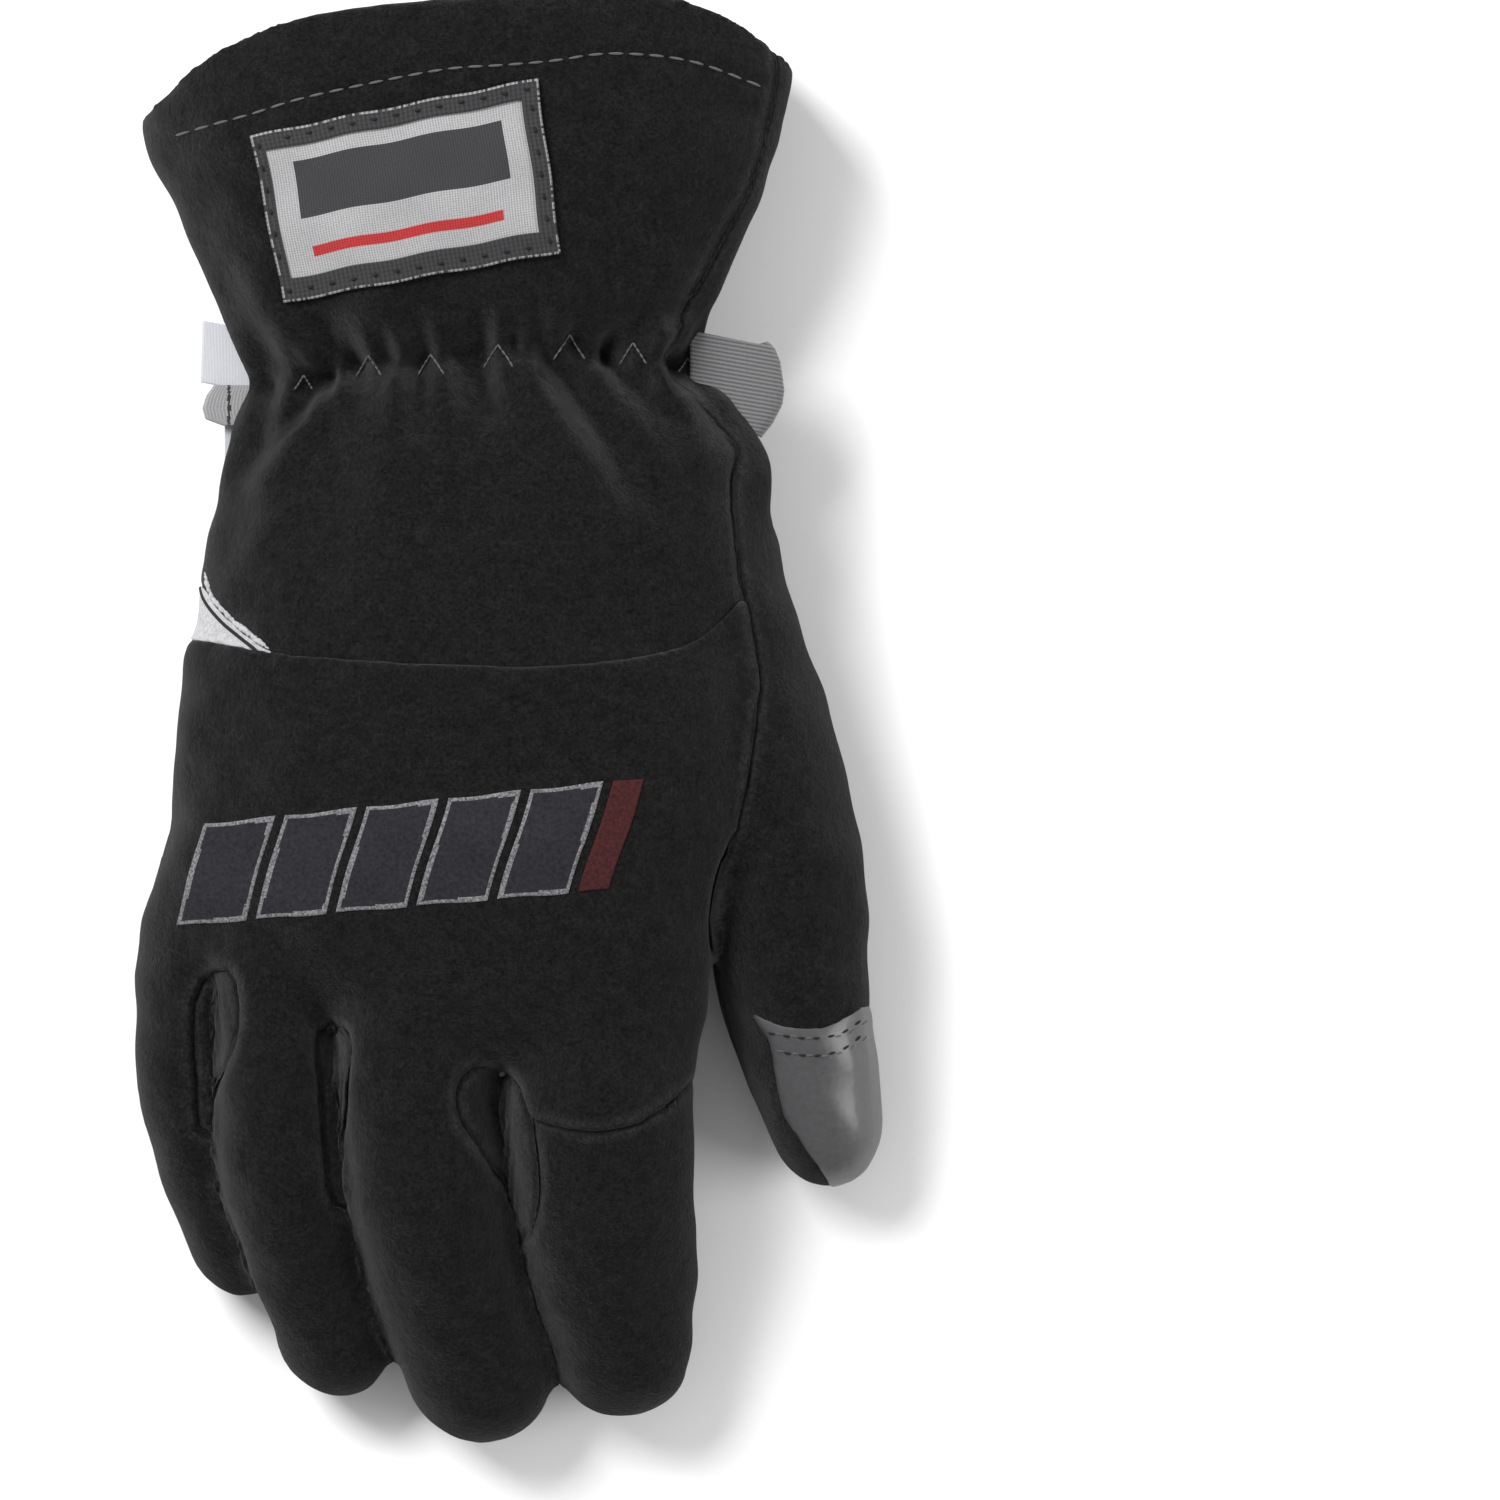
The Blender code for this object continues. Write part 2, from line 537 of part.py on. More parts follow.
def hand_form(name, grow):
    """Palm, cuff and all five fingers as one closed form, flattened where it lies on the surface."""
    form = inner_body() if grow < 0 else outer_body(grow)
    for finger in FINGERS:
        combine(form, finger_form(finger, grow), "UNION")
    floor = max(-grow, 0.0)
    outline = [(-FAR_OUT, -FAR_OUT), (FAR_OUT, -FAR_OUT), (FAR_OUT, FAR_OUT), (-FAR_OUT, FAR_OUT)]
    combine(form, prism("below", outline, -FAR_OUT, floor), "DIFFERENCE")
    form.name = name
    return form


def gusset_cutter(name, margin):
    """The space that a gusset fills, or with a margin, the space that its neighbours leave to it."""
    rings = []
    for row in GUSSETS[name]:
        shown, deep = row.half_width + margin, row.deep_half_width + margin
        low, step, high = row.z_low - margin, row.z_step + margin, row.z_high + margin
        section = [(-deep, low), (deep, low), (deep, step), (shown, step),
                   (shown, high), (-shown, high), (-shown, step), (-deep, step)]
        rings.append([(row.x + x, row.y, z) for x, z in section])
    rings[0] = [(x, y + margin, z) for x, y, z in rings[0]]
    rings[-1] = [(x, y - margin, z) for x, y, z in rings[-1]]
    return loft(name, rings)


def loose_bodies(obj):
    """The separate closed bodies of a mesh object, each as its own object."""
    bpy.ops.object.select_all(action="DESELECT")
    bpy.context.view_layer.objects.active = obj
    obj.select_set(True)
    bpy.ops.mesh.separate(type="LOOSE")
    return list(bpy.context.selected_objects)


def volume(obj):
    """In cubic millimetres."""
    bm = bmesh.new()
    bm.from_mesh(obj.data)
    size = bm.calc_volume() / MM**3
    bm.free()
    return size


def main_body(obj):
    """The largest body of an object. The slivers that a cut leaves beside it are dropped."""
    bodies = loose_bodies(obj)
    largest = max(bodies, key=lambda body: abs(volume(body)))
    for body in bodies:
        if body != largest:
            bpy.data.objects.remove(body)
    return largest


def nearest_to(bodies, seed):
    target = Vector(seed) * MM
    return min(bodies, key=lambda body: min((v.co - target).length for v in body.data.vertices))


def leather_panels():
    """The glove's wall, cut along every seam into named panels, with the gussets and the piping."""
    wall = combine(hand_form("outer", 0.0), hand_form("inner", -WALL), "DIFFERENCE")
    pieces = []
    for name in GUSSETS:
        pieces.append(main_body(combine(duplicate(wall, name), gusset_cutter(name, 0.0), "INTERSECT")))
    piping_path = smooth_path(PIPING_WAY, PATH_STEPS)
    piping = blade("piping", piping_path[1:-1], PIPING_WIDTH, *PALM_WALL)
    pieces.append(combine(duplicate(wall, "thumb_piping"), piping, "INTERSECT"))
    for name in GUSSETS:
        combine(wall, gusset_cutter(name, SEAM_GAP), "DIFFERENCE")
    combine(wall, blade("channel", piping_path, PIPING_WIDTH + 2 * SEAM_GAP, *PALM_WALL), "DIFFERENCE")
    for name, rows in SIDE_SEAMS.items():
        combine(wall, seam_sheet(name, rows), "DIFFERENCE")
    for name, seam in SEAMS.items():
        path = smooth_path(seam.points, PATH_STEPS)
        combine(wall, blade(name, path, seam.width, seam.z_low, seam.z_high), "DIFFERENCE")
    bodies = []
    for body in loose_bodies(wall):
        if abs(volume(body)) < CRUMB_VOLUME:
            bpy.data.objects.remove(body)
        else:
            bodies.append(body)
    for name, seed in PANEL_SEEDS.items():
        panel = nearest_to(bodies, seed)
        panel.name = name
        bodies.remove(panel)
        pieces.append(panel)
    return {piece.name.split(".")[0]: piece for piece in pieces}


def skin(name, form, outline, low, high):
    """The part of a form's surface layer within an outline: what the form covers less the form below it."""
    layer = combine(form(SEAT_GAP + high), form(SEAT_GAP + low), "DIFFERENCE")
    combine(layer, outline, "INTERSECT")
    layer.name = name
    return layer


def cuff_label(pieces):
    """The woven label on the cuff: its field, and the ribbon sewn round the field's edge."""
    corners = np.array(LABEL_CORNERS)
    middle = corners.mean(axis=0)
    outer_size = np.linalg.norm(corners - middle, axis=1, keepdims=True)
    field = middle + (corners - middle) * (1 - math.sqrt(2) * LABEL_BORDER / outer_size)
    hole = middle + (corners - middle) * (1 - (math.sqrt(2) * LABEL_BORDER - SEAM_GAP) / outer_size)
    upper = (LABEL_LOW, OPEN_TOP)
    pieces["cuff_label"] = skin("cuff_label", outer_body, prism("field", field, *upper), 0.0, LABEL_THICK)
    border = combine(prism("border", corners, *upper), prism("hole", hole, *upper), "DIFFERENCE")
    pieces["label_border"] = skin("label_border", outer_body, border, 0.0, LABEL_THICK)


def thumb_patch(pieces):
    """The smooth patch on the thumb's tip, which follows the thumb's form a little outside it."""
    def thumb(grow):
        return finger_form("thumb", grow)

    outline = prism("patch", PATCH_OUTLINE, PATCH_LOW, OPEN_TOP)
    pieces["thumb_patch"] = skin("thumb_patch", thumb, outline, 0.0, PATCH_THICK)


def cloth_tags(pieces):
    """The tags at the wrist, each a flat strip that ends at the leather it is sewn to."""
    for name, tag in TAGS.items():
        strip = prism(name, tag.outline, tag.z, tag.z + tag.thick)
        pieces[name] = combine(strip, outer_body(SEAT_GAP), "DIFFERENCE")


def slim(piece):
    """Merges the facets that the cuts split needlessly."""
    flat = PALM_ANGLE if piece.name == "palm_panel" else FLAT_ANGLE
    bm = bmesh.new()
    bm.from_mesh(piece.data)
    bmesh.ops.remove_doubles(bm, verts=bm.verts, dist=MERGE_DISTANCE * MM)
    bmesh.ops.dissolve_limit(bm, angle_limit=flat, verts=bm.verts, edges=bm.edges)
    bmesh.ops.triangulate(bm, faces=bm.faces)
    bm.to_mesh(piece.data)
    bm.free()


def finish(name, piece, collection, shift):
    """Puts a piece in place under its own name, with its material, and rounds its shading."""
    piece.name = name
    piece.data.name = name
    slim(piece)
    for vertex in piece.data.vertices:
        vertex.co += shift
    look = FINISHES.get(name, LEATHER)
    material = bpy.data.materials.new(name)
    material.use_nodes = True
    shader = material.node_tree.nodes["Principled BSDF"]
    shader.inputs["Base Color"].default_value = (*look.colour, 1.0)
    shader.inputs["Roughness"].default_value = look.roughness
    piece.data.materials.clear()
    piece.data.materials.append(material)
    piece.data.shade_smooth()
    piece.data.set_sharp_from_angle(angle=SHARP_ANGLE)
    for holder in list(piece.users_collection):
        holder.objects.unlink(piece)
    collection.objects.link(piece)


def main():
    clear_scene()
    pieces = leather_panels()
    for vertex in pieces["knuckle_panel"].data.vertices:
        vertex.co.z += OVERLAY_RAISE * MM
    combine(pieces["pale_strip"], outer_body(-STRIP_DROP), "INTERSECT")
    cuff_label(pieces)
    thumb_patch(pieces)
    cloth_tags(pieces)
    points = np.array([vertex.co for piece in pieces.values() for vertex in piece.data.vertices])
    middle = (points.min(axis=0) + points.max(axis=0)) / 2
    shift = Vector((-middle[0], -middle[1], -points[:, 2].min()))
    collection = bpy.data.collections.new("firefighter_glove")
    bpy.context.scene.collection.children.link(collection)
    for name, piece in pieces.items():
        finish(name, piece, collection, shift)


if __name__ == "__main__":
    main()
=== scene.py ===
# %% [markdown]
# # A firefighter's glove in black split leather
# The glove lies on its palm with the back of the hand up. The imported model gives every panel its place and
# size, and this script gives them their looks: soft leather with folds and rolled seams, thread, a woven
# label, cloth tags and a smooth patch on the thumb. Everything is in metres, in the model's own frame: the
# fingers point to -Y, the open cuff to +Y and the thumb side is +X.

# %% Load the fixed frame
import math
import random

import bmesh
import bpy
import numpy as np
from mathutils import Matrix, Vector
from mathutils.bvhtree import BVHTree
from mathutils.kdtree import KDTree


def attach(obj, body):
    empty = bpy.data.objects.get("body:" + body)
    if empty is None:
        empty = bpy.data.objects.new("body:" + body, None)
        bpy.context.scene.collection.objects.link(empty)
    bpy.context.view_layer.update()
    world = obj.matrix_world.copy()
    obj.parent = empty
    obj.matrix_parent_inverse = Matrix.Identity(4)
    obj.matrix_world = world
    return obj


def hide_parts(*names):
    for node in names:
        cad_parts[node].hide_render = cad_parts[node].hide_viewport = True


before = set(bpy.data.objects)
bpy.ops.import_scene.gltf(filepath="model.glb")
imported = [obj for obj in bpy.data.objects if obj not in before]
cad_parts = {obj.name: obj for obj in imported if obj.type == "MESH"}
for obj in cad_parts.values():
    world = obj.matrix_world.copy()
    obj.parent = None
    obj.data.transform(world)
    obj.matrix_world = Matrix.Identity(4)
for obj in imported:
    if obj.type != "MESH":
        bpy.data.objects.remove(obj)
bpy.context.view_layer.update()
MM = 0.001

# %% [markdown]
# ## The camera
# The glove is seen from straight above with a long lens, so that its outline is hardly widened by
# perspective. The cuff points to the top of the picture. One pixel of the 1500 pixel frame is 0.2 mm on
# the glove, and the glove lies left of the frame's middle.

# %% Camera over the glove
FRAME_WIDTH = 0.3
FRAME_MIDDLE = (0.048, -0.0057)
FOCUS_HEIGHT = 0.025
LENS = 300

camera_data = bpy.data.cameras.new("camera")
camera_data.lens = LENS
camera = bpy.data.objects.new("camera", camera_data)
bpy.context.scene.collection.objects.link(camera)
camera_distance = FRAME_WIDTH * LENS / camera_data.sensor_width
camera.location = (*FRAME_MIDDLE, FOCUS_HEIGHT + camera_distance)
camera_data.clip_end = 20
bpy.context.scene.camera = camera
print("camera", round(camera_distance, 2), "m above the glove")

# %% [markdown]
# ## Helpers for selecting and for meshes
# An operator acts on everything that is selected, and the frame arrives selected, so each step first
# selects just its own piece. Points are read and written as arrays, because a panel has tens of thousands
# of them.


# %% Small helpers
def select_only(piece):
    bpy.ops.object.select_all(action="DESELECT")
    piece.select_set(True)
    bpy.context.view_layer.objects.active = piece


def rows_of(items, key):
    """One property of every item, as an array of three columns."""
    values = np.empty(len(items) * 3, np.float32)
    items.foreach_get(key, values)
    return values.reshape(-1, 3).astype(float)


def points_of(piece):
    return rows_of(piece.data.vertices, "co")


def normals_of(piece):
    return rows_of(piece.data.vertex_normals, "vector")


def face_middles(piece):
    return rows_of(piece.data.polygons, "center")


def move_points(piece, points):
    piece.data.vertices.foreach_set("co", np.asarray(points, np.float32).ravel())
    piece.data.update()


def edges_of(piece):
    edges = np.empty(len(piece.data.edges) * 2, np.int32)
    piece.data.edges.foreach_get("vertices", edges)
    return edges.reshape(-1, 2)


def new_object(name, data):
    piece = bpy.data.objects.new(name, data)
    bpy.context.scene.collection.objects.link(piece)
    return piece


def merge_doubles(piece, threshold):
    select_only(piece)
    bpy.ops.object.mode_set(mode="EDIT")
    bpy.ops.mesh.select_all(action="SELECT")
    bpy.ops.mesh.remove_doubles(threshold=threshold)
    bpy.ops.object.mode_set(mode="OBJECT")
    return piece


def node_copy(node, name):
    """A copy of a CAD node's mesh with its loose triangles merged."""
    return merge_doubles(new_object(name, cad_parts[node].data.copy()), 0.01 * MM)


def join_pieces(first, *others):
    """Joins the others into the first piece."""
    select_only(first)
    for piece in others:
        piece.select_set(True)
    bpy.ops.object.join()
    return first


def remesh(piece, voxel):
    select_only(piece)
    piece.data.remesh_voxel_size = voxel
    piece.data.remesh_voxel_adaptivity = 0
    bpy.ops.object.voxel_remesh()
    return piece


def apply_modifier(piece, kind, **settings):
    """Adds a modifier with these settings and applies it."""
    select_only(piece)
    modifier = piece.modifiers.new(kind.title(), kind)
    for key, value in settings.items():
        setattr(modifier, key, value)
    bpy.ops.object.modifier_apply(modifier=modifier.name)
    return piece


# %% [markdown]
# ## One smooth hand under all the panels
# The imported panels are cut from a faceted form. Smoothing each panel by itself would shrink it away from
# its seams, so the leather panels are first joined and remeshed into one hand, and that hand is smoothed.
# The difference between the hand before and after is a map of small moves, and each panel later follows
# that map. Smoothing also shrinks round forms a little, so the slow part of the moves is taken out again.

# %% Join, remesh and smooth the whole hand
LEATHER_NODES = ["back_panel", "knuckle_panel", "index_back", "palm_panel", "thumb_palm", "thumb_side",
                 "gusset_little_ring", "gusset_ring_middle", "gusset_middle_index"]
OVERLAY_RAISE = 0.9 * MM  # how far the knuckle panel stands over the hand's back
SEAM_FILL = 0.3 * MM
HAND_VOXEL = 0.95 * MM
SMOOTH_PASSES = 45


def relax(values, edges, passes):
    """Replaces each point's value by the mean of its neighbours', again and again."""
    count = len(values)
    valence = np.maximum(np.bincount(edges.ravel(), minlength=count), 1)[:, None]
    for _ in range(passes):
        total = np.empty_like(values)
        for k in range(values.shape[1]):
            column = values[:, k]
            total[:, k] = np.bincount(edges[:, 0], column[edges[:, 1]], count)
            total[:, k] += np.bincount(edges[:, 1], column[edges[:, 0]], count)
        values = 0.5 * values + 0.5 * total / valence
    return values


hand = node_copy(LEATHER_NODES[0], "hand")
for node in LEATHER_NODES[1:] + ["pale_strip", "thumb_piping"]:
    part_copy = node_copy(node, "hand_part")
    if node == "knuckle_panel":
        move_points(part_copy, points_of(part_copy) - [0, 0, OVERLAY_RAISE])
    join_pieces(hand, part_copy)
apply_modifier(hand, "DISPLACE", strength=SEAM_FILL, mid_level=0)
remesh(hand, HAND_VOXEL)
hand_points = points_of(hand)
hand_normals = normals_of(hand)
hand_edges = edges_of(hand)
moves = relax(hand_points, hand_edges, SMOOTH_PASSES) - hand_points
moves -= relax(moves, hand_edges, SMOOTH_PASSES)
print("hand", len(hand_points), "points, largest move", round(float(np.abs(moves).max()) / MM, 2), "mm")

# %% [markdown]
# ## Where a point is on the glove
# Folds run round the cuff and the wrist, so a point is also known by its section: the middle and the half
# size of the glove at that distance along it. The thumb is left out of the sections, because it would
# widen them.

# %% Sections of the glove
SECTION_STEP = 2 * MM
CUFF_EDGE_Y = float(hand_points[:, 1].max())
THUMB_LINE = ((46 * MM, 58 * MM), (38 * MM, -60 * MM))  # x and y of two points between hand and thumb


def right_of_thumb_line(points):
    (x0, y0), (x1, y1) = THUMB_LINE
    line_x = x0 + (points[:, 1] - y0) * (x1 - x0) / (y1 - y0)
    return (points[:, 1] < y0) & (points[:, 0] > line_x)


in_hand = hand_points[~right_of_thumb_line(hand_points)]
section_y = np.arange(float(in_hand[:, 1].min()), CUFF_EDGE_Y, SECTION_STEP)
rows = []
for y in section_y:
    near = in_hand[np.abs(in_hand[:, 1] - y) < SECTION_STEP]
    low, high = near.min(axis=0), near.max(axis=0)
    middle, half = (low + high) / 2, (high - low) / 2
    rows.append((middle[0], middle[2], half[0], half[2]))
section_table = np.array(rows)


def section_at(y):
    """Middle x, middle z, half width and half height of the glove at y, as columns."""
    return np.stack([np.interp(y, section_y, column) for column in section_table.T], axis=1)


def outward(points):
    """The direction away from the glove's middle, like the normal of an ellipse through the point."""
    section = section_at(points[:, 1])
    x = (points[:, 0] - section[:, 0]) / section[:, 2] ** 2
    z = (points[:, 2] - section[:, 1]) / section[:, 3] ** 2
    size = np.maximum(np.hypot(x, z), 1e-9)
    return np.stack([x / size, np.zeros_like(x), z / size], axis=1)


print("sections", len(section_y))

# %% [markdown]
# ## The folds
# A row of elastic gathers the wrist. Folds start at that row, deep and close together, and run out over
# the back of the hand and up the cuff. Each is a line with a depth and a width, in millimetres as seen
# from above; a negative depth is a ridge beside a fold. This is sculpting by table: a point sinks by what
# the folds near it say.

# %% Folds on the back of the hand
BACK_FOLDS = [
    # x_start, y_start, x_end, y_end, depth, width
    (-38.0, 67.5, -56.0, 46.0, 2.0, 3.4),
    (-34.5, 66.5, -55.0, 41.5, -1.1, 2.6),
    (-28.8, 69.7, -26.6, 58.0, 1.3, 2.4),
    (-23.4, 69.0, -22.5, 57.0, -0.7, 2.2),
    (-18.2, 69.7, -18.2, 55.0, 1.4, 2.6),
    (-12.2, 69.5, -12.0, 58.0, -0.6, 2.2),
    (-6.4, 69.7, -3.0, 58.0, 1.3, 2.5),
    (1.0, 70.0, 4.0, 56.0, -0.6, 3.0),
    (9.4, 70.5, 29.0, 42.5, 2.3, 3.3),
    (5.0, 68.5, 21.0, 47.0, -0.9, 2.6),
    (21.6, 71.5, 39.5, 55.0, 1.9, 2.8),
    (16.8, 68.5, 33.0, 49.5, -0.9, 2.4),
    (28.5, 71.0, 42.0, 60.5, -0.6, 2.2),
    (34.2, 70.5, 41.5, 63.0, 1.2, 2.2),
    (-31.2, 72.0, -39.5, 80.5, 1.4, 2.6),
    (-45.2, 71.5, -53.0, 79.0, 1.2, 2.4),
    (-38.0, 71.5, -47.0, 83.0, -0.7, 2.4),
    (-23.8, 72.0, -28.5, 80.5, 1.2, 2.4),
    (-16.2, 73.5, -20.5, 85.5, 1.4, 2.6),
    (-7.0, 74.5, -4.0, 83.0, 1.0, 2.6),
    (1.4, 75.5, 8.5, 84.0, 1.0, 2.6),
    (13.0, 76.0, 19.0, 86.5, 1.0, 2.8),
    (21.0, 74.5, 36.0, 86.0, 1.7, 3.0),
    (27.5, 73.5, 39.5, 82.0, -0.7, 2.2),
    (35.6, 71.5, 42.5, 84.0, 1.2, 2.2),
]
HEM_WAY = [(-66.4, 116.7), (-51.8, 120.3), (-39.8, 123.7), (-14.0, 128.9), (-1.2, 129.9), (9.8, 130.9),
           (19.0, 132.3), (31.0, 131.9), (39.2, 130.3), (46.6, 127.7), (54.0, 125.1)]
HEM_DEPTH = 0.2
HEM_WIDTH = 1.5
ELASTIC_WAY = [(-60.0, 65.0), (-37.4, 68.7), (-13.0, 72.6), (10.0, 75.3), (33.2, 72.3), (48.0, 68.0)]
ELASTIC_DEPTH = 1.2
ELASTIC_WIDTH = 3.6
FOLD_STRENGTH = 1.9  # thick leather folds this much deeper than its seams pull it
GATHER_DEPTH = 0.42
GATHER_PITCH = 6.4
GATHER_REACH = 7.0  # how far above and below the elastic the small gathers run
PALM_PLEATS = 0.8
PALM_PITCH = 9.5


def near_line(points, x_start, y_start, x_end, y_end):
    """How far along a line each point lies, from 0 to 1, and how far from it, in millimetres."""
    start = np.array((x_start, y_start))
    run = np.array((x_end, y_end)) - start
    along = np.clip((points - start) @ run / (run @ run), 0, 1)
    return along, np.linalg.norm(points - start - along[:, None] * run, axis=1)


def way_y(way, x):
    """The y of a way from left to right at x, both in millimetres."""
    way = np.array(way)
    return np.interp(x, way[:, 0], way[:, 1])


def hem_groove(flat):
    """The stitches of the hem pull their line in a little."""
    return HEM_DEPTH * np.exp(-(((flat[:, 1] - way_y(HEM_WAY, flat[:, 0])) / HEM_WIDTH) ** 2))


def fold_depth(points):
    """How far the folds sink each point of the hand's back, in millimetres."""
    flat = points[:, :2] / MM
    off_elastic = flat[:, 1] - way_y(ELASTIC_WAY, flat[:, 0])
    sunk = ELASTIC_DEPTH * np.exp(-((off_elastic / ELASTIC_WIDTH) ** 2))
    phase = 2 * math.pi * flat[:, 0] / GATHER_PITCH + 0.9 * np.sin(flat[:, 0] / 5.3) + 0.08 * off_elastic
    sunk += GATHER_DEPTH * np.sin(phase) * np.exp(-((off_elastic / GATHER_REACH) ** 2))
    sunk += hem_groove(flat)
    for x_start, y_start, x_end, y_end, depth, width in BACK_FOLDS:
        along, apart = near_line(flat, x_start, y_start, x_end, y_end)
        sunk += depth * (1 - along**2) * np.exp(-((apart / (width * (1 + 0.4 * along))) ** 2))
    return sunk * FOLD_STRENGTH


def palm_gathers(points):
    """The same elastic seen from below, where it only gathers the leather in short pleats."""
    flat = points[:, :2] / MM
    off_elastic = flat[:, 1] - way_y(ELASTIC_WAY, flat[:, 0])
    pleats = PALM_PLEATS * np.sin(2 * math.pi * flat[:, 0] / PALM_PITCH + 0.7 * np.sin(flat[:, 0] / 6.1))
    return (ELASTIC_DEPTH + pleats) * np.exp(-((off_elastic / GATHER_REACH) ** 2)) + hem_groove(flat)


# %% [markdown]
# ## Soft unevenness
# Thick leather is never quite even. A few waves of unlike lengths and directions, added up, raise and sink
# the surface by less than half a millimetre. Drawn from a seeded generator, they are the same on each run.

# %% Gentle waves
WAVE_LENGTHS = (34, 27, 21, 17, 13, 11, 9)  # millimetres
WAVE_HEIGHT = 0.32 * MM
random.seed(7)
waves = []
for length in WAVE_LENGTHS:
    direction = Vector((random.uniform(-1, 1), random.uniform(-1, 1), random.uniform(-1, 1))).normalized()
    waves.append((np.array(direction) * 2 * math.pi / (length * MM), random.uniform(0, 2 * math.pi), length))


def waviness(points):
    total = np.zeros(len(points))
    for direction, phase, length in waves:
        total += np.sin(points @ direction + phase) * length / WAVE_LENGTHS[0]
    return total * WAVE_HEIGHT


# %% [markdown]
# ## Rolled seams
# Leather that is sewn inside out rolls down into its seams. For each point the distance to the nearest
# other panel is looked up in a tree, and within a few millimetres of a seam the surface drops along a
# quarter circle. The imported panels keep a small gap between them. Sewn leather has none, so each cut face
# spreads a little sideways, towards its neighbour, while the outer and the inner surface stay where they
# are. The same distance is kept as an attribute, so that the finish can paint shade into the seam's groove
# and lighten the roll beside it, partly for the rubbed leather there and partly as a painted sheen.

# %% Distance to the neighbours
SEAM_ROLL = (3.2 * MM, 0.95 * MM)  # width and depth
GUSSET_ROLL = (3.0 * MM, 1.25 * MM)
SPREAD = 1.1 * MM
FAR = 20 * MM


def tree_of(points):
    tree = KDTree(len(points))
    for i, point in enumerate(points):
        tree.insert(point, i)
    tree.balance()
    return tree


def follow_hand(points, count=3):
    """The hand's smoothing moves at each point, from its nearest few points, and the nearest's normal."""
    found = np.zeros_like(points)
    nearest = np.zeros(len(points), int)
    for i, point in enumerate(points):
        near = hand_tree.find_n(point, count)
        weights = np.array([1 / (distance + 0.05 * MM) for _, _, distance in near])
        found[i] = weights @ moves[[index for _, index, _ in near]] / weights.sum()
        nearest[i] = near[0][1]
    return found, hand_normals[nearest]


def roll(distance, width, depth):
    """How far a rolled edge sinks at this distance from the seam."""
    share = np.clip(1 - distance / width, 0, 1)
    return depth * (1 - np.sqrt(1 - share**2))


hand_tree = tree_of(hand_points)

# %% [markdown]
# ## The leather panels
# Each panel is copied, remeshed finely enough to bend, and its edges are rounded. Then it follows the
# hand's smoothing, rolls into its seams, takes the gentle waves and sinks with the folds. The knuckle
# panel is sewn on top of the back panel, so these two show a plain step and don't roll into each other.

# %% Remesh every panel
PANEL_VOXELS = {
    "back_panel": 0.77, "knuckle_panel": 0.78, "index_back": 0.7, "palm_panel": 1.1, "thumb_palm": 1.0,
    "thumb_side": 0.82, "gusset_little_ring": 0.52, "gusset_ring_middle": 0.52, "gusset_middle_index": 0.52,
}
LAPPED = ("back_panel", "knuckle_panel")
EDGE_ROUNDING = 7
LAST_SMOOTHING = 3
panels = {}
for node in LEATHER_NODES:
    panel = remesh(node_copy(node, "leather_" + node), PANEL_VOXELS[node] * MM)
    apply_modifier(panel, "SMOOTH", factor=0.5, iterations=EDGE_ROUNDING)
    panels[node] = panel
    print(node, len(panel.data.vertices), "points")


# %% Follow the hand, the waves and the folds
FOLDS_END = 25 * MM  # no fold runs further towards the fingers than this y
FOLDS_FADE = 15 * MM
FLOOR_CLEARANCE = 0.05 * MM


def on_hand(points, normals, raised=0.0):
    """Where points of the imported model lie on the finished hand."""
    found, hand_normal = follow_hand(points - [0, 0, raised])
    sideways = normals - (normals * hand_normal).sum(axis=1, keepdims=True) * hand_normal
    away = outward(points)
    on_back = np.clip(away[:, 2] * 2, 0, 1)
    on_palm = np.clip(-away[:, 2] * 2, 0, 1)
    in_body = np.clip((points[:, 1] - FOLDS_END) / FOLDS_FADE, 0, 1) * ~right_of_thumb_line(points)
    sunk = (fold_depth(points) * on_back + palm_gathers(points) * on_palm) * in_body * MM
    shaped = points + found + sideways * SPREAD + away * (waviness(points) - sunk)[:, None]
    shaped[:, 2] = np.maximum(shaped[:, 2], FLOOR_CLEARANCE)
    return shaped


WEB_FOLD = (-4.2, -76.0, -0.8, -88.0)  # where the strip between middle and index finger folds in two
WEB_FOLD_DEPTH = 1.3 * MM
WEB_FOLD_WIDTH = 0.9

rest_points = {node: points_of(panel) for node, panel in panels.items()}
for node, panel in panels.items():
    points = rest_points[node]
    near = [other for other in panels if other != node and {node, other} != set(LAPPED)]
    others_tree = tree_of(np.vstack([rest_points[other][::2] for other in near]))
    seam_distance = np.array([min(others_tree.find(point)[2], FAR) for point in points])
    shaped = on_hand(points, normals_of(panel), OVERLAY_RAISE if node == "knuckle_panel" else 0)
    width, depth = GUSSET_ROLL if node.startswith("gusset") else SEAM_ROLL
    shaped -= normals_of(panel) * roll(seam_distance, width, depth)[:, None]
    if node == "gusset_middle_index":
        _, apart = near_line(points[:, :2] / MM, *WEB_FOLD)
        upper = points[:, 2] > 26 * MM
        shaped[:, 2] -= WEB_FOLD_DEPTH * np.exp(-((apart / WEB_FOLD_WIDTH) ** 2)) * upper
    shaped[:, 2] = np.maximum(shaped[:, 2], FLOOR_CLEARANCE)
    move_points(panel, shaped)
    panel.data.attributes.new("seam", "FLOAT", "POINT").data.foreach_set("value", seam_distance / MM)
    apply_modifier(panel, "SMOOTH", factor=0.5, iterations=LAST_SMOOTHING)
    panel.data.shade_smooth()
bpy.context.view_layer.update()
print("shaped", len(panels), "panels")
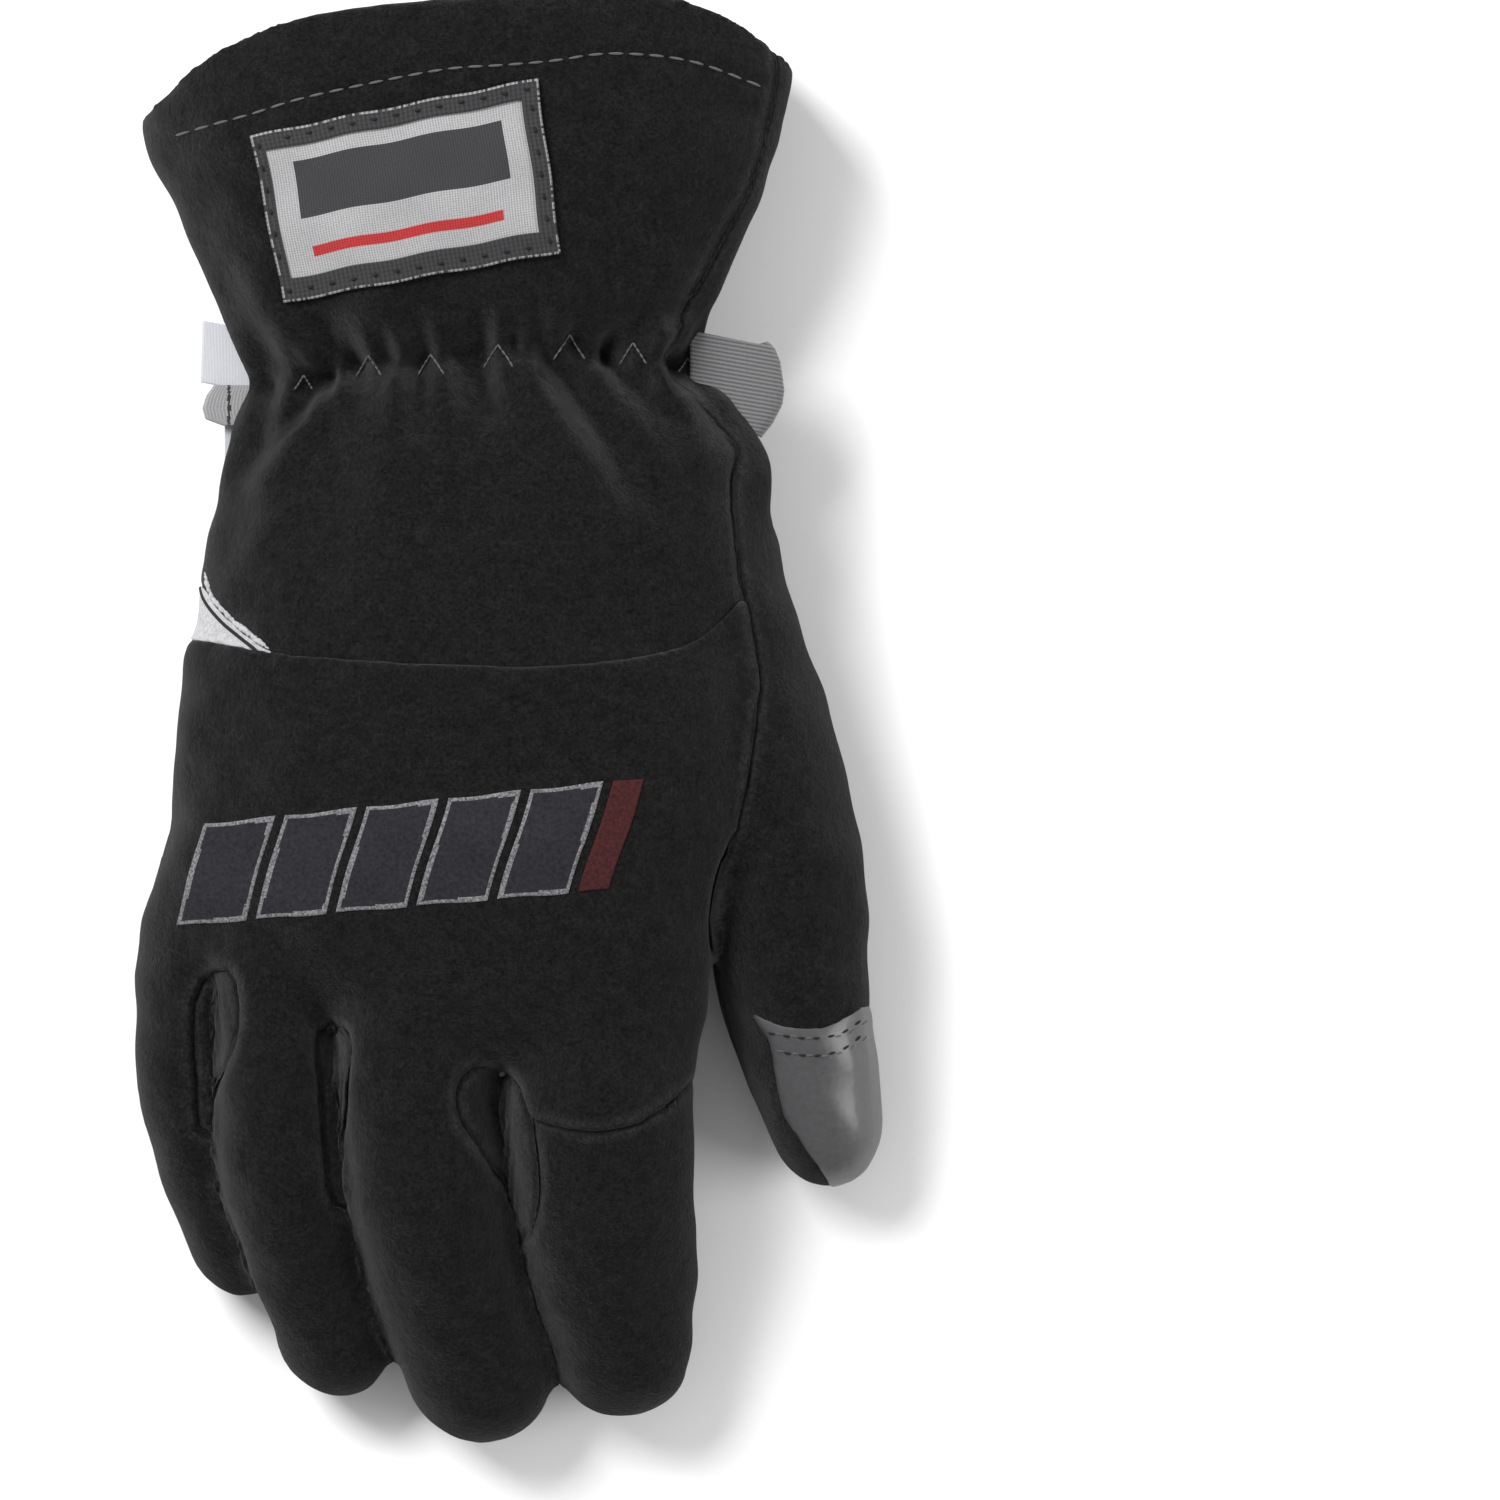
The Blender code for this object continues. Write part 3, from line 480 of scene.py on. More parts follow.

# %% [markdown]
# ## Suede
# Split leather is black dye over a brushed nap. Seen closely it is a mottle of darker and lighter fibres,
# and light at grazing angles, because the fibres catch the light. Two noises colour it, sheen lights its
# rims, and a fine bump roughens it. Along the rolled seams the attribute paints light into the colour: it
# darkens the groove, where the nap is unrubbed and shade is painted in, and then lightens the roll beside
# it, for the rubbed leather there and a painted sheen.


# %% Material helpers
def new_material(name):
    material = bpy.data.materials.new(name)
    material.use_nodes = True
    tree = material.node_tree
    return material, tree.nodes, tree.links, tree.nodes["Principled BSDF"]


def set_inputs(node, **values):
    """Sets a node's inputs by name. An underscore stands for a space."""
    for name, value in values.items():
        node.inputs[name.replace("_", " ")].default_value = value


def noise(nodes, links, vector, scale, detail, roughness):
    texture = nodes.new("ShaderNodeTexNoise")
    set_inputs(texture, Scale=scale, Detail=detail, Roughness=roughness)
    links.new(vector, texture.inputs["Vector"])
    return texture.outputs["Fac"]


def ramp(nodes, links, value, stops):
    """A colour ramp through (place, grey or colour) stops."""
    node = nodes.new("ShaderNodeValToRGB")
    elements = node.color_ramp.elements
    for i, (place, colour) in enumerate(stops):
        element = elements[i] if i < 2 else elements.new(place)
        element.position = place
        shade = (colour, colour, colour) if isinstance(colour, (int, float)) else colour
        element.color = (*shade, 1)
    links.new(value, node.inputs["Fac"])
    return node.outputs["Color"]


def mix(nodes, links, kind, factor, first, second):
    """Mixes the colours of two outputs. Inputs 6 and 7 and output 2 are the node's sockets for colours."""
    node = nodes.new("ShaderNodeMix")
    node.data_type = "RGBA"
    node.blend_type = kind
    node.inputs[0].default_value = factor
    links.new(first, node.inputs[6])
    links.new(second, node.inputs[7])
    return node.outputs[2]


def bump(nodes, links, height, strength, distance, normal=None):
    node = nodes.new("ShaderNodeBump")
    set_inputs(node, Strength=strength, Distance=distance)
    links.new(height, node.inputs["Height"])
    if normal is not None:
        links.new(normal, node.inputs["Normal"])
    return node.outputs["Normal"]


def finish_piece(piece, slot, *materials, node=None):
    """Gives a piece its materials and its body, and hides the node that it stands for. The slot is not used.
    """
    kinds = np.zeros(len(piece.data.polygons), np.int32)
    piece.data.polygons.foreach_get("material_index", kinds)
    piece.data.materials.clear()
    for material in materials:
        piece.data.materials.append(material)
    piece.data.polygons.foreach_set("material_index", np.minimum(kinds, len(materials) - 1))
    piece.data.shade_smooth()
    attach(piece, "root")
    if node:
        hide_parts(node)


SEAM_REACH = 3.4  # millimetres from the seam


def suede(name, dark, light, roll_wear_and_sheen):
    material, nodes, links, shader = new_material(name)
    place = nodes.new("ShaderNodeTexCoord").outputs["Object"]
    fibre = noise(nodes, links, place, 1350, 5, 0.85)
    mottle = noise(nodes, links, place, 330, 6, 0.72)
    nap = ramp(nodes, links, fibre, [(0.36, dark), (0.66, light)])
    patch = ramp(nodes, links, mottle, [(0.34, (0.74, 0.74, 0.73)), (0.68, (1.32, 1.31, 1.27))])
    colour = mix(nodes, links, "MULTIPLY", 1.0, nap, patch)
    seam = nodes.new("ShaderNodeAttribute")
    seam.attribute_name = "seam"
    near_seam = nodes.new("ShaderNodeMapRange")
    set_inputs(near_seam, From_Max=SEAM_REACH)
    links.new(seam.outputs["Fac"], near_seam.inputs["Value"])
    # Painted light along the seams: painted shade darkens the groove, where the nap is also unrubbed, and
    # the roll beside it is lighter for rubbed leather and a painted sheen.
    stops = [(0.22, 0.42), (0.38, 1.0), (0.52, roll_wear_and_sheen), (1.0, 1.0)]
    painted_seam_light_and_wear = ramp(nodes, links, near_seam.outputs["Result"], stops)
    links.new(mix(nodes, links, "MULTIPLY", 1.0, colour, painted_seam_light_and_wear), shader.inputs["Base Color"])
    set_inputs(shader, Roughness=0.95, Specular_IOR_Level=0.04, Sheen_Weight=0.15, Sheen_Roughness=0.32,
               Sheen_Tint=(0.92, 0.92, 0.95, 1))
    fine = bump(nodes, links, fibre, 0.9, 0.5 * MM)
    links.new(bump(nodes, links, mottle, 0.5, 0.8 * MM, fine), shader.inputs["Normal"])
    return material


# 1.9 lightens the roll beside a seam, for rubbed leather and a painted sheen.
black_suede = suede("black_suede", 0.0032, 0.0165, 1.9)
for node, panel in panels.items():
    finish_piece(panel, "black_suede", black_suede, node=node)

# %% [markdown]
# ## Small pieces that follow the hand
# The smooth patch on the thumb, the pale layer under the back panel's raw edge and the pale edge along the
# thumb's seam are thin pieces that lie on or in the leather. Each is made like a panel: copied, remeshed,
# rounded and moved with the hand. The patch is a coated leather with a satin surface, so it gets gloss and
# only a faint grain.


# %% Patch, pale strip and piping
def plain_finish(name, dark, light, scale, roughness, specular, bump_distance, sheen=0.0):
    """A finish whose colour wanders between two shades, with a fine relief of the same pattern."""
    material, nodes, links, shader = new_material(name)
    place = nodes.new("ShaderNodeTexCoord").outputs["Object"]
    grain = noise(nodes, links, place, scale, 4, 0.6)
    links.new(ramp(nodes, links, grain, [(0.3, dark), (0.7, light)]), shader.inputs["Base Color"])
    links.new(bump(nodes, links, grain, 0.4, bump_distance), shader.inputs["Normal"])
    set_inputs(shader, Roughness=roughness, Specular_IOR_Level=specular, Sheen_Weight=sheen)
    return material


satin_leather = plain_finish(
    "smooth_grey_leather", (0.042, 0.042, 0.044), (0.056, 0.056, 0.059), 900, 0.38, 0.65, 0.05 * MM)
pale_cloth = plain_finish(
    "pale_edge", (0.27, 0.27, 0.28), (0.44, 0.44, 0.45), 1600, 0.9, 0.1, 0.15 * MM, 0.1)


def small_copy(node, name, voxel, rounding):
    """A small node's copy, remeshed, rounded and moved onto the finished hand."""
    piece = remesh(node_copy(node, name), voxel * MM)
    apply_modifier(piece, "SMOOTH", factor=0.5, iterations=rounding)
    move_points(piece, on_hand(points_of(piece), np.zeros((len(piece.data.vertices), 3))))
    print(name, len(piece.data.vertices), "points")
    return piece


PATCH_TOP = [(45.9, -57.3), (49.0, -58.8), (52.8, -60.3), (55.0, -60.9), (59.2, -61.1), (62.8, -60.9),
             (66.6, -59.5), (69.2, -58.1), (71.6, -56.6)]
PATCH_HEIGHTS = (-0.35, 0.5)  # its two sides over the leather, in millimetres
PATCH_TUCK = 2.5  # under the upper edge it sinks below the suede over this length


def press_on(piece, carrier, top):
    """Presses a layer onto its carrier and tucks its upper edge, a line of x and y, under the carrier."""
    tree = BVHTree.FromObject(carrier, bpy.context.evaluated_depsgraph_get())
    points = points_of(piece) / MM
    top = np.array(top)
    edge = np.interp(points[:, 0], top[:, 0], top[:, 1])
    points[:, 1] = np.minimum(points[:, 1], edge)
    found = [tree.find_nearest(Vector(point) * MM) for point in points]
    places = np.array([place for place, _, _, _ in found]) / MM
    normals = np.array([normal for _, normal, _, _ in found])
    heights = ((points - places) * normals).sum(axis=1)
    low, high = np.percentile(heights, (4, 96))
    share = np.clip((heights - low) / (high - low), 0, 1)
    tucked = np.clip((edge - points[:, 1]) / PATCH_TUCK, 0.0, 1.0)
    outer = PATCH_HEIGHTS[0] + (PATCH_HEIGHTS[1] - PATCH_HEIGHTS[0]) * np.sqrt(tucked)
    lift = PATCH_HEIGHTS[0] + (outer - PATCH_HEIGHTS[0]) * share
    move_points(piece, (places + normals * lift[:, None]) * MM)


thumb_patch = small_copy("thumb_patch", "patch_on_thumb", 0.45, 7)
press_on(thumb_patch, panels["thumb_side"], PATCH_TOP)
apply_modifier(thumb_patch, "SMOOTH", factor=0.5, iterations=6)
finish_piece(thumb_patch, "smooth_grey_leather", satin_leather, node="thumb_patch")
pale_strip = small_copy("pale_strip", "strip_under_edge", 0.45, 4)
finish_piece(pale_strip, "pale_edge", pale_cloth, node="pale_strip")
piping = small_copy("thumb_piping", "piping_in_palm", 0.35, 4)
finish_piece(piping, "pale_edge", pale_cloth, node="thumb_piping")
bpy.data.objects.remove(hand)
bpy.context.view_layer.update()

# %% [markdown]
# ## Places on the leather
# Thread, label and print lie on the leather, so their places come from it: a plumb line is let down at x
# and y, and the first point that it meets, with the surface's direction there, is where the thing goes.
# Seen from below the plumb line goes up. A way is a smooth curve through a few points, walked in even
# steps.


# %% Plumb lines and ways
PLUMB_HEIGHT = 0.2
WAY_SAMPLES = 600


def plumb(x, y, pieces, side=1):
    """The first place on these pieces at x and y, in millimetres, and its normal. Side -1 is from below."""
    best = None
    start = Vector((x * MM, y * MM, side * PLUMB_HEIGHT))
    for piece in pieces:
        hit, place, normal, _ = piece.ray_cast(start, Vector((0, 0, -side)))
        if hit and (best is None or side * place.z > side * best[0].z):
            best = (place, normal)
    return best


def even_way(way, step):
    """Places a step apart along a smooth curve through the points of a way."""
    way = np.array(way, float)
    way = np.vstack([2 * way[0] - way[1], way, 2 * way[-1] - way[-2]])
    dense = []
    for t in np.linspace(0, len(way) - 3 - 1e-6, WAY_SAMPLES):
        i, u = int(t), t - int(t)
        p0, p1, p2, p3 = way[i:i + 4]
        dense.append(p1 + (p2 - p0) * u / 2 + (2 * p0 - 5 * p1 + 4 * p2 - p3) * u**2 / 2
                     + (3 * p1 - p0 - 3 * p2 + p3) * u**3 / 2)
    dense = np.array(dense)
    length = np.concatenate([[0], np.cumsum(np.linalg.norm(np.diff(dense, axis=0), axis=1))])
    at = np.arange(0, length[-1], step)
    return np.stack([np.interp(at, length, dense[:, k]) for k in range(2)], axis=1)


leather = list(panels.values())

# %% [markdown]
# ## Thread
# A stitch is a short bit of thread that dips into the leather at both ends. One is modelled from a sphere,
# drawn long and arched, and then copied along each seam. All stitches of a seam are one piece.

# %% One stitch, and rows of them
bpy.ops.object.select_all(action="DESELECT")
bpy.ops.mesh.primitive_uv_sphere_add(segments=8, ring_count=6, radius=1)
one_stitch = bpy.context.object
bpy.ops.object.mode_set(mode="EDIT")
bpy.ops.transform.rotate(value=math.pi / 2, orient_axis="Y", center_override=(0, 0, 0))
bpy.ops.object.mode_set(mode="OBJECT")
STITCH_POINTS = points_of(one_stitch)
STITCH_FACES = [tuple(face.vertices) for face in one_stitch.data.polygons]
STITCH_ARCH = 0.7  # of the thread's radius
bpy.data.objects.remove(one_stitch)
thread_grey = plain_finish(
    "thread_grey", (0.05, 0.05, 0.052), (0.1, 0.1, 0.104), 3000, 0.7, 0.3, 0.1 * MM, 0.2)
thread_dark = plain_finish(
    "thread_dark", (0.006, 0.006, 0.006), (0.014, 0.014, 0.015), 3000, 0.7, 0.2, 0.1 * MM)


def stitch_piece(name, stitches, radius, material):
    """One piece of stitches, each a pair of end places and a normal. The thread's radius is in metres."""
    points, faces = [], []
    for start, end, normal in stitches:
        middle, half = (start + end) / 2, (end - start) / 2
        along = half.normalized()
        up = (normal - along * normal.dot(along)).normalized()
        frame_axes = np.array([half, along.cross(up) * radius, up * radius])
        shape = STITCH_POINTS.copy()
        shape[:, 2] += STITCH_ARCH * (1 - STITCH_POINTS[:, 0] ** 2)
        faces += [tuple(i + len(points) for i in face) for face in STITCH_FACES]
        placed = shape @ frame_axes + np.array(middle)
        placed[:, 2] = np.maximum(placed[:, 2], FLOOR_CLEARANCE)
        points += list(placed)
    mesh = bpy.data.meshes.new(name)
    mesh.from_pydata([tuple(point) for point in points], [], faces)
    mesh.validate()
    piece = new_object(name, mesh)
    finish_piece(piece, "black_suede", material)
    print(name, len(stitches), "stitches")
    return piece


def row_of_stitches(way, length, gap, pieces, side=1):
    """Stitches along a way, where the pieces carry them."""
    stitches = []
    for start, end in zip(even_way(way, length + gap), even_way(way, length + gap)[1:]):
        stop = start + (end - start) * length / (length + gap)
        ends = [plumb(*start, pieces, side), plumb(*stop, pieces, side)]
        if None not in ends and (ends[0][0] - ends[1][0]).length < 2 * length * MM:
            stitches.append((ends[0][0], ends[1][0], ends[0][1] + ends[1][1]))
    return stitches


HEM_STITCH = (3.0, 1.0)  # length and gap in millimetres
HEM_THREAD = 0.26 * MM
hem = row_of_stitches(HEM_WAY, *HEM_STITCH, leather)
hem += row_of_stitches(HEM_WAY, *HEM_STITCH, leather, side=-1)
stitch_piece("hem_stitches", hem, HEM_THREAD, thread_grey)

# %% [markdown]
# The elastic at the wrist is held by a zigzag. Only its peaks show, as carets of two threads between the
# gathers, and they grow fainter towards the sides, where the leather turns away. The palm has the same
# row.

# %% Zigzag over the elastic
CARETS_BACK = [(-41.0, 67.6, 0.7), (-27.8, 70.8, 1.0), (-15.4, 71.0, 1.0), (-2.0, 72.6, 1.1),
               (12.0, 74.6, 1.2), (24.8, 73.3, 1.0), (35.5, 71.2, 0.7)]  # x, y and size
CARET_HALF_WIDTH = 2.6
CARET_HEIGHT = 4.2
CARET_BITS = 4
CARET_LIFT = 0.12 * MM
ZIGZAG_THREAD = 0.2 * MM


def carets(places, side):
    """Each arm of a caret is a few short bits of thread, so that it follows the gathers."""
    found = []
    for x, y, size in places:
        for turn in (-1, 1):
            spots = []
            for share in np.linspace(0, 1, CARET_BITS + 1):
                spot_x = x + turn * CARET_HALF_WIDTH * size * (1 - share)
                spots.append(plumb(spot_x, y + CARET_HEIGHT * size * (share - 0.5), leather, side))
            for low, high in zip(spots, spots[1:]):
                if low and high:
                    ends = [place + normal * CARET_LIFT for place, normal in (low, high)]
                    found.append((*ends, low[1] + high[1]))
    return found


stitch_piece("elastic_zigzag", carets(CARETS_BACK, 1) + carets(CARETS_BACK, -1), ZIGZAG_THREAD, thread_grey)

# %% [markdown]
# The patch on the thumb is held by two rows of stitches along its upper edge.

# %% Stitches on the thumb's patch
PATCH_ROWS = [
    [(51.6, -62.2), (57.8, -63.2), (62.3, -63.2), (66.6, -62.2), (70.0, -59.9), (72.4, -58.2)],
    [(51.8, -65.7), (57.8, -66.6), (61.6, -66.8), (65.8, -65.9), (68.8, -64.1), (70.8, -62.2),
     (73.0, -60.2)],
]
# The dark bits of thread between the grey stitches are painted shade. They stand for the shaded needle
# holes.
NEEDLE_SHADE_LENGTH = 1.5  # a dark mark is as long as the thread between two of them
patch_light, patch_hole_shade = [], []
for way in PATCH_ROWS:
    patch_hole_shade += row_of_stitches(way, NEEDLE_SHADE_LENGTH, NEEDLE_SHADE_LENGTH, [thumb_patch])
    between = [(x + NEEDLE_SHADE_LENGTH, y) for x, y in way]
    patch_light += row_of_stitches(between, 1.4, 1.6, [thumb_patch])
# Painted shade of the needle holes, made of dark thread.
stitch_piece("patch_needle_hole_shade", patch_hole_shade, 0.24 * MM, thread_dark)
stitch_piece("patch_stitches", patch_light, 0.2 * MM, thread_grey)

# %% [markdown]
# ## The raw edge
# Where the back panel's edge curves away from the knuckle panel, its cut edge isn't turned in. The cut
# shows the undyed middle of the hide as a ragged pale rim, and a dark line runs beside it on the pale
# layer. Both are tubes laid along the edge. The rim's radius and path wander, because a cut through split
# leather is fuzzy.

# %% Ragged rim and the dark line beside it
RAW_EDGE_WAY = [(-60.9, 29.8), (-59.5, 25.4), (-56.0, 21.1), (-51.9, 17.7), (-47.4, 14.3)]
RIM_RADIUS = 0.55
RIM_STEP = 0.35
RIM_STRAY = 0.18
RIM_UNEVEN = (0.75, 1.25)  # of its radius
RIM_END = 0.3  # of its radius
RIM_TAPER = 2.0  # millimetres over which the rim grows from a thread at its ends
DARK_LINE_RADIUS = 0.38
DARK_LINE_SIDE = (-1.5, -1.1)  # from the rim, in millimetres


def tube(name, places, radii):
    """A closed tube through places in metres, with a radius in metres at each."""
    curve = bpy.data.curves.new(name, "CURVE")
    curve.dimensions = "3D"
    curve.bevel_depth = 1
    curve.bevel_resolution = 2
    curve.use_fill_caps = True
    spline = curve.splines.new("POLY")
    spline.points.add(len(places) - 1)
    for point, place, radius in zip(spline.points, places, radii):
        point.co = (*place, 1)
        point.radius = radius
    piece = new_object(name, curve)
    select_only(piece)
    bpy.ops.object.convert(target="MESH")
    return merge_doubles(piece, 0.001 * MM)


random.seed(11)
edge_places = even_way(RAW_EDGE_WAY, RIM_STEP)
rim_places, rim_radii, dark_line_places = [], [], []
for k, (x, y) in enumerate(edge_places):
    on_edge = plumb(x, y, leather + [pale_strip])
    beside = plumb(x + DARK_LINE_SIDE[0], y + DARK_LINE_SIDE[1], [pale_strip])
    rim_places.append(on_edge[0] + Vector([random.uniform(-RIM_STRAY, RIM_STRAY) * MM for _ in range(3)]))
    from_end = min(k, len(edge_places) - 1 - k) * RIM_STEP
    taper = RIM_END + (1 - RIM_END) * min(from_end / RIM_TAPER, 1)
    rim_radii.append(RIM_RADIUS * taper * random.uniform(*RIM_UNEVEN) * MM)
    if beside:
        dark_line_places.append(beside[0])
raw_rim = tube("raw_edge_rim", rim_places, rim_radii)
finish_piece(raw_rim, "pale_edge", pale_cloth)
edge_dark_line = tube("raw_edge_dark_line", dark_line_places, [DARK_LINE_RADIUS * MM] * len(dark_line_places))
finish_piece(edge_dark_line, "black_suede", thread_dark)
print("raw edge", len(rim_places), "places, thread", len(dark_line_places))

# %% [markdown]
# ## The label
# A woven label is sewn to the cuff, with a ribbon folded over its edges. Both are cloth that lies on the
# leather, so a grid is mapped into the label's four corners, let down onto the panel, evened out and given
# its thickness. The field carries plain bars, a wide dark one and a narrow red one. The weave runs with
# the grid's own UV map.

# %% Cloth laid on the leather
LABEL_OUTER = [(-44.8, 83.1), (10.6, 92.9), (6.0, 127.3), (-51.2, 116.1)]
LABEL_INNER = [(-43.7, 87.7), (6.3, 96.2), (2.9, 123.1), (-47.8, 113.3)]
TUCK = 1.2  # millimetres of the field that lie under the ribbon


def in_corners(corners, u, v):
    """The place at u and v, from 0 to 1, between four corners given counterclockwise from the lower left."""
    low = np.outer(1 - u, corners[0]) + np.outer(u, corners[1])
    high = np.outer(1 - u, corners[3]) + np.outer(u, corners[2])
    return low * (1 - v)[:, None] + high * v[:, None]


EDGE_WAVES = 0.18  # millimetres by which a cloth's threads stray
EDGE_WAVE_LENGTHS = (3.4, 2.6)
WAVE_SCALE = 2 * math.pi / 20  # gives a wave texture one rib to a unit


def unit_grid(name, across, up):
    """A new grid, and its points' u and v from 0 to 1."""
    bpy.ops.object.select_all(action="DESELECT")
    bpy.ops.mesh.primitive_grid_add(x_subdivisions=across, y_subdivisions=up, size=2)
    grid = bpy.context.object
    grid.name = name
    return grid, (points_of(grid)[:, :2] + 1) / 2


def laid_grid(name, corners, step, pieces, lift, evening=25):
    """A grid between corners in millimetres, lying on pieces, and its points' u and v."""
    corners = np.array(corners, float)
    across = int(np.linalg.norm(corners[1] - corners[0]) / step)
    up = int(np.linalg.norm(corners[3] - corners[0]) / step)
    grid, unit = unit_grid(name, across, up)
    flat = in_corners(corners, unit[:, 0], unit[:, 1])
    flat += EDGE_WAVES * np.sin(flat[:, ::-1] / EDGE_WAVE_LENGTHS + 1)
    heights = np.array([plumb(x, y, pieces)[0].z for x, y in flat])[:, None]
    heights = relax(heights, edges_of(grid), evening)
    move_points(grid, np.hstack([flat * MM, heights + lift]))
    return grid, unit


def thicken(piece, thickness):
    apply_modifier(piece, "SOLIDIFY", thickness=thickness, offset=-1)


def colour_faces(piece, kinds):
    piece.data.polygons.foreach_set("material_index", np.asarray(kinds, np.int32))
    piece.data.update()


def woven(name, dark, light, threads_across, threads_up):
    """A weave on the piece's UV map: fine ribs both ways, the shade of a rib wandering a little."""
    material, nodes, links, shader = new_material(name)
    cloth = nodes.new("ShaderNodeTexCoord").outputs["UV"]
    ribs = []
    for direction, threads in (("X", threads_across), ("Y", threads_up)):
        wave = nodes.new("ShaderNodeTexWave")
        wave.bands_direction = direction
        set_inputs(wave, Scale=threads * WAVE_SCALE, Distortion=0.6)
        links.new(cloth, wave.inputs["Vector"])
        ribs.append(wave.outputs["Color"])
    weave = mix(nodes, links, "MIX", 0.35, ribs[0], ribs[1])
    fuzz = noise(nodes, links, nodes.new("ShaderNodeTexCoord").outputs["Object"], 2200, 3, 0.6)
    uneven = mix(nodes, links, "MIX", 0.45, weave, fuzz)
    links.new(ramp(nodes, links, uneven, [(0.25, dark), (0.7, light)]), shader.inputs["Base Color"])
    links.new(bump(nodes, links, weave, 0.5, 0.12 * MM), shader.inputs["Normal"])
    set_inputs(shader, Roughness=0.8, Specular_IOR_Level=0.2, Sheen_Weight=0.15)
    return material


def face_uv(piece, uv):
    """The mean u and v of each face."""
    return np.array([np.mean([uv[i] for i in face.vertices], axis=0) for face in piece.data.polygons])


def from_edge(piece, corners):
    """How far each face's middle lies from the lines between the corners, in millimetres."""
    middles = face_middles(piece)[:, :2] / MM
    ring = np.array(corners)
    return np.min([near_line(middles, *ring[k], *ring[(k + 1) % 4])[1] for k in range(4)], axis=0)


def half_area(piece):
    """The cloth's area in a thickened sheet, which has two sides."""
    return sum(face.area for face in piece.data.polygons) / 2


# %% The woven field
field_corners = []
for inner, outer in zip(LABEL_INNER, LABEL_OUTER):
    toward = np.array(outer) - inner
    field_corners.append(np.array(inner) + toward * TUCK / np.linalg.norm(toward))
label_field, field_uv = laid_grid("label_field", field_corners, 0.4, [panels["back_panel"]], 0.55 * MM)
DARK_BAR = ((0.1, 0.45), (0.9, 0.86))  # lowest and highest u and v
RED_BAR = ((0.12, 0.17), (0.86, 0.25))
sample = face_uv(label_field, field_uv)
kinds = np.zeros(len(sample), int)
for kind, (lowest, highest) in enumerate((DARK_BAR, RED_BAR), start=1):
    kinds[((sample > lowest) & (sample < highest)).all(axis=1)] = kind
colour_faces(label_field, kinds)
thicken(label_field, 0.35 * MM)
finish_piece(
    label_field, "woven_label",
    woven("woven_label", (0.2, 0.2, 0.205), (0.36, 0.36, 0.365), 96, 60),
    woven("label_bar_dark", (0.022, 0.022, 0.024), (0.038, 0.038, 0.04), 96, 60),
    woven("label_bar_red", (0.24, 0.012, 0.014), (0.4, 0.03, 0.03), 96, 60),
    node="cuff_label")
print("label field", len(label_field.data.polygons), "faces")

# %% The ribbon round it
ribbon, ribbon_uv = laid_grid("label_ribbon", LABEL_OUTER, 0.45, [panels["back_panel"]], 0.95 * MM)
inner_uv = []
for corner in LABEL_INNER:
    spread = np.linalg.norm(in_corners(np.array(LABEL_OUTER), *ribbon_uv.T) - corner, axis=1)
    inner_uv.append(ribbon_uv[spread.argmin()])
inner_uv = np.array(inner_uv)
u_range = (inner_uv[[0, 3], 0].mean(), inner_uv[[1, 2], 0].mean())
v_range = (inner_uv[[0, 1], 1].mean(), inner_uv[[2, 3], 1].mean())
bm = bmesh.new()
bm.from_mesh(ribbon.data)
opening = [face for face, (u, v) in zip(bm.faces, face_uv(ribbon, ribbon_uv))
           if u_range[0] < u < u_range[1] and v_range[0] < v < v_range[1]]
bmesh.ops.delete(bm, geom=opening, context="FACES")
bm.to_mesh(ribbon.data)
bm.free()
EDGE_SHARE = 0.42  # millimetres of pale cut edge
FRAYED_SHARE = 0.8  # of the faces along that edge
to_edge = from_edge(ribbon, LABEL_OUTER)
random.seed(5)
frayed = np.array([random.random() < FRAYED_SHARE for _ in to_edge])
colour_faces(ribbon, ((to_edge < EDGE_SHARE) & frayed).astype(int))
thicken(ribbon, 0.4 * MM)
finish_piece(
    ribbon, "label_ribbon",
    woven("label_ribbon", (0.016, 0.016, 0.017), (0.034, 0.034, 0.036), 62, 40),
    woven("ribbon_cut_edge", (0.07, 0.07, 0.07), (0.26, 0.26, 0.26), 62, 40),
    node="label_border")
bpy.context.view_layer.update()
middle_line = (np.array(LABEL_OUTER) + np.array(LABEL_INNER)) / 2
ribbon_stitches = []
for start, end in zip(middle_line, np.roll(middle_line, -1, axis=0)):
    ribbon_stitches += row_of_stitches([start, (start + end) / 2, end], 1.3, 3.1, [ribbon])
stitch_piece("ribbon_stitches", ribbon_stitches, 0.3 * MM, thread_dark)

# %% [markdown]
# ## The print over the knuckles
# A grey pattern is pressed onto the knuckle panel: here it is one even row of slanted bars with rough
# outlines, and a narrow dark red bar at its end. Each bar is a thin film: a grid in its four corners, laid
# on the leather, whose outer faces take the outline's finish.

# %% Slanted bars
PRINT_BAND = [(-64.6, -40.6), (22.0, -33.2), (25.2, -11.4), (-62.8, -20.6)]
BAR_COUNT = 5
BARS_END = 0.93  # the red bar takes the rest of the band
BAR_GAP = 0.022
BAR_SLANT = 0.045
OUTLINE_WIDTH = 0.85
FILM = 0.12 * MM
FILM_STEP = 0.38
print_fill = plain_finish(
    "print_fill", (0.0125, 0.012, 0.0145), (0.026, 0.025, 0.029), 1300, 0.85, 0.08, 0.15 * MM)
print_outline = plain_finish(
    "print_outline", (0.02, 0.02, 0.022), (0.24, 0.24, 0.25), 2300, 0.85, 0.08, 0.15 * MM)
print_red = plain_finish(
    "print_red", (0.02, 0.008, 0.008), (0.065, 0.014, 0.015), 1500, 0.85, 0.12, 0.15 * MM)


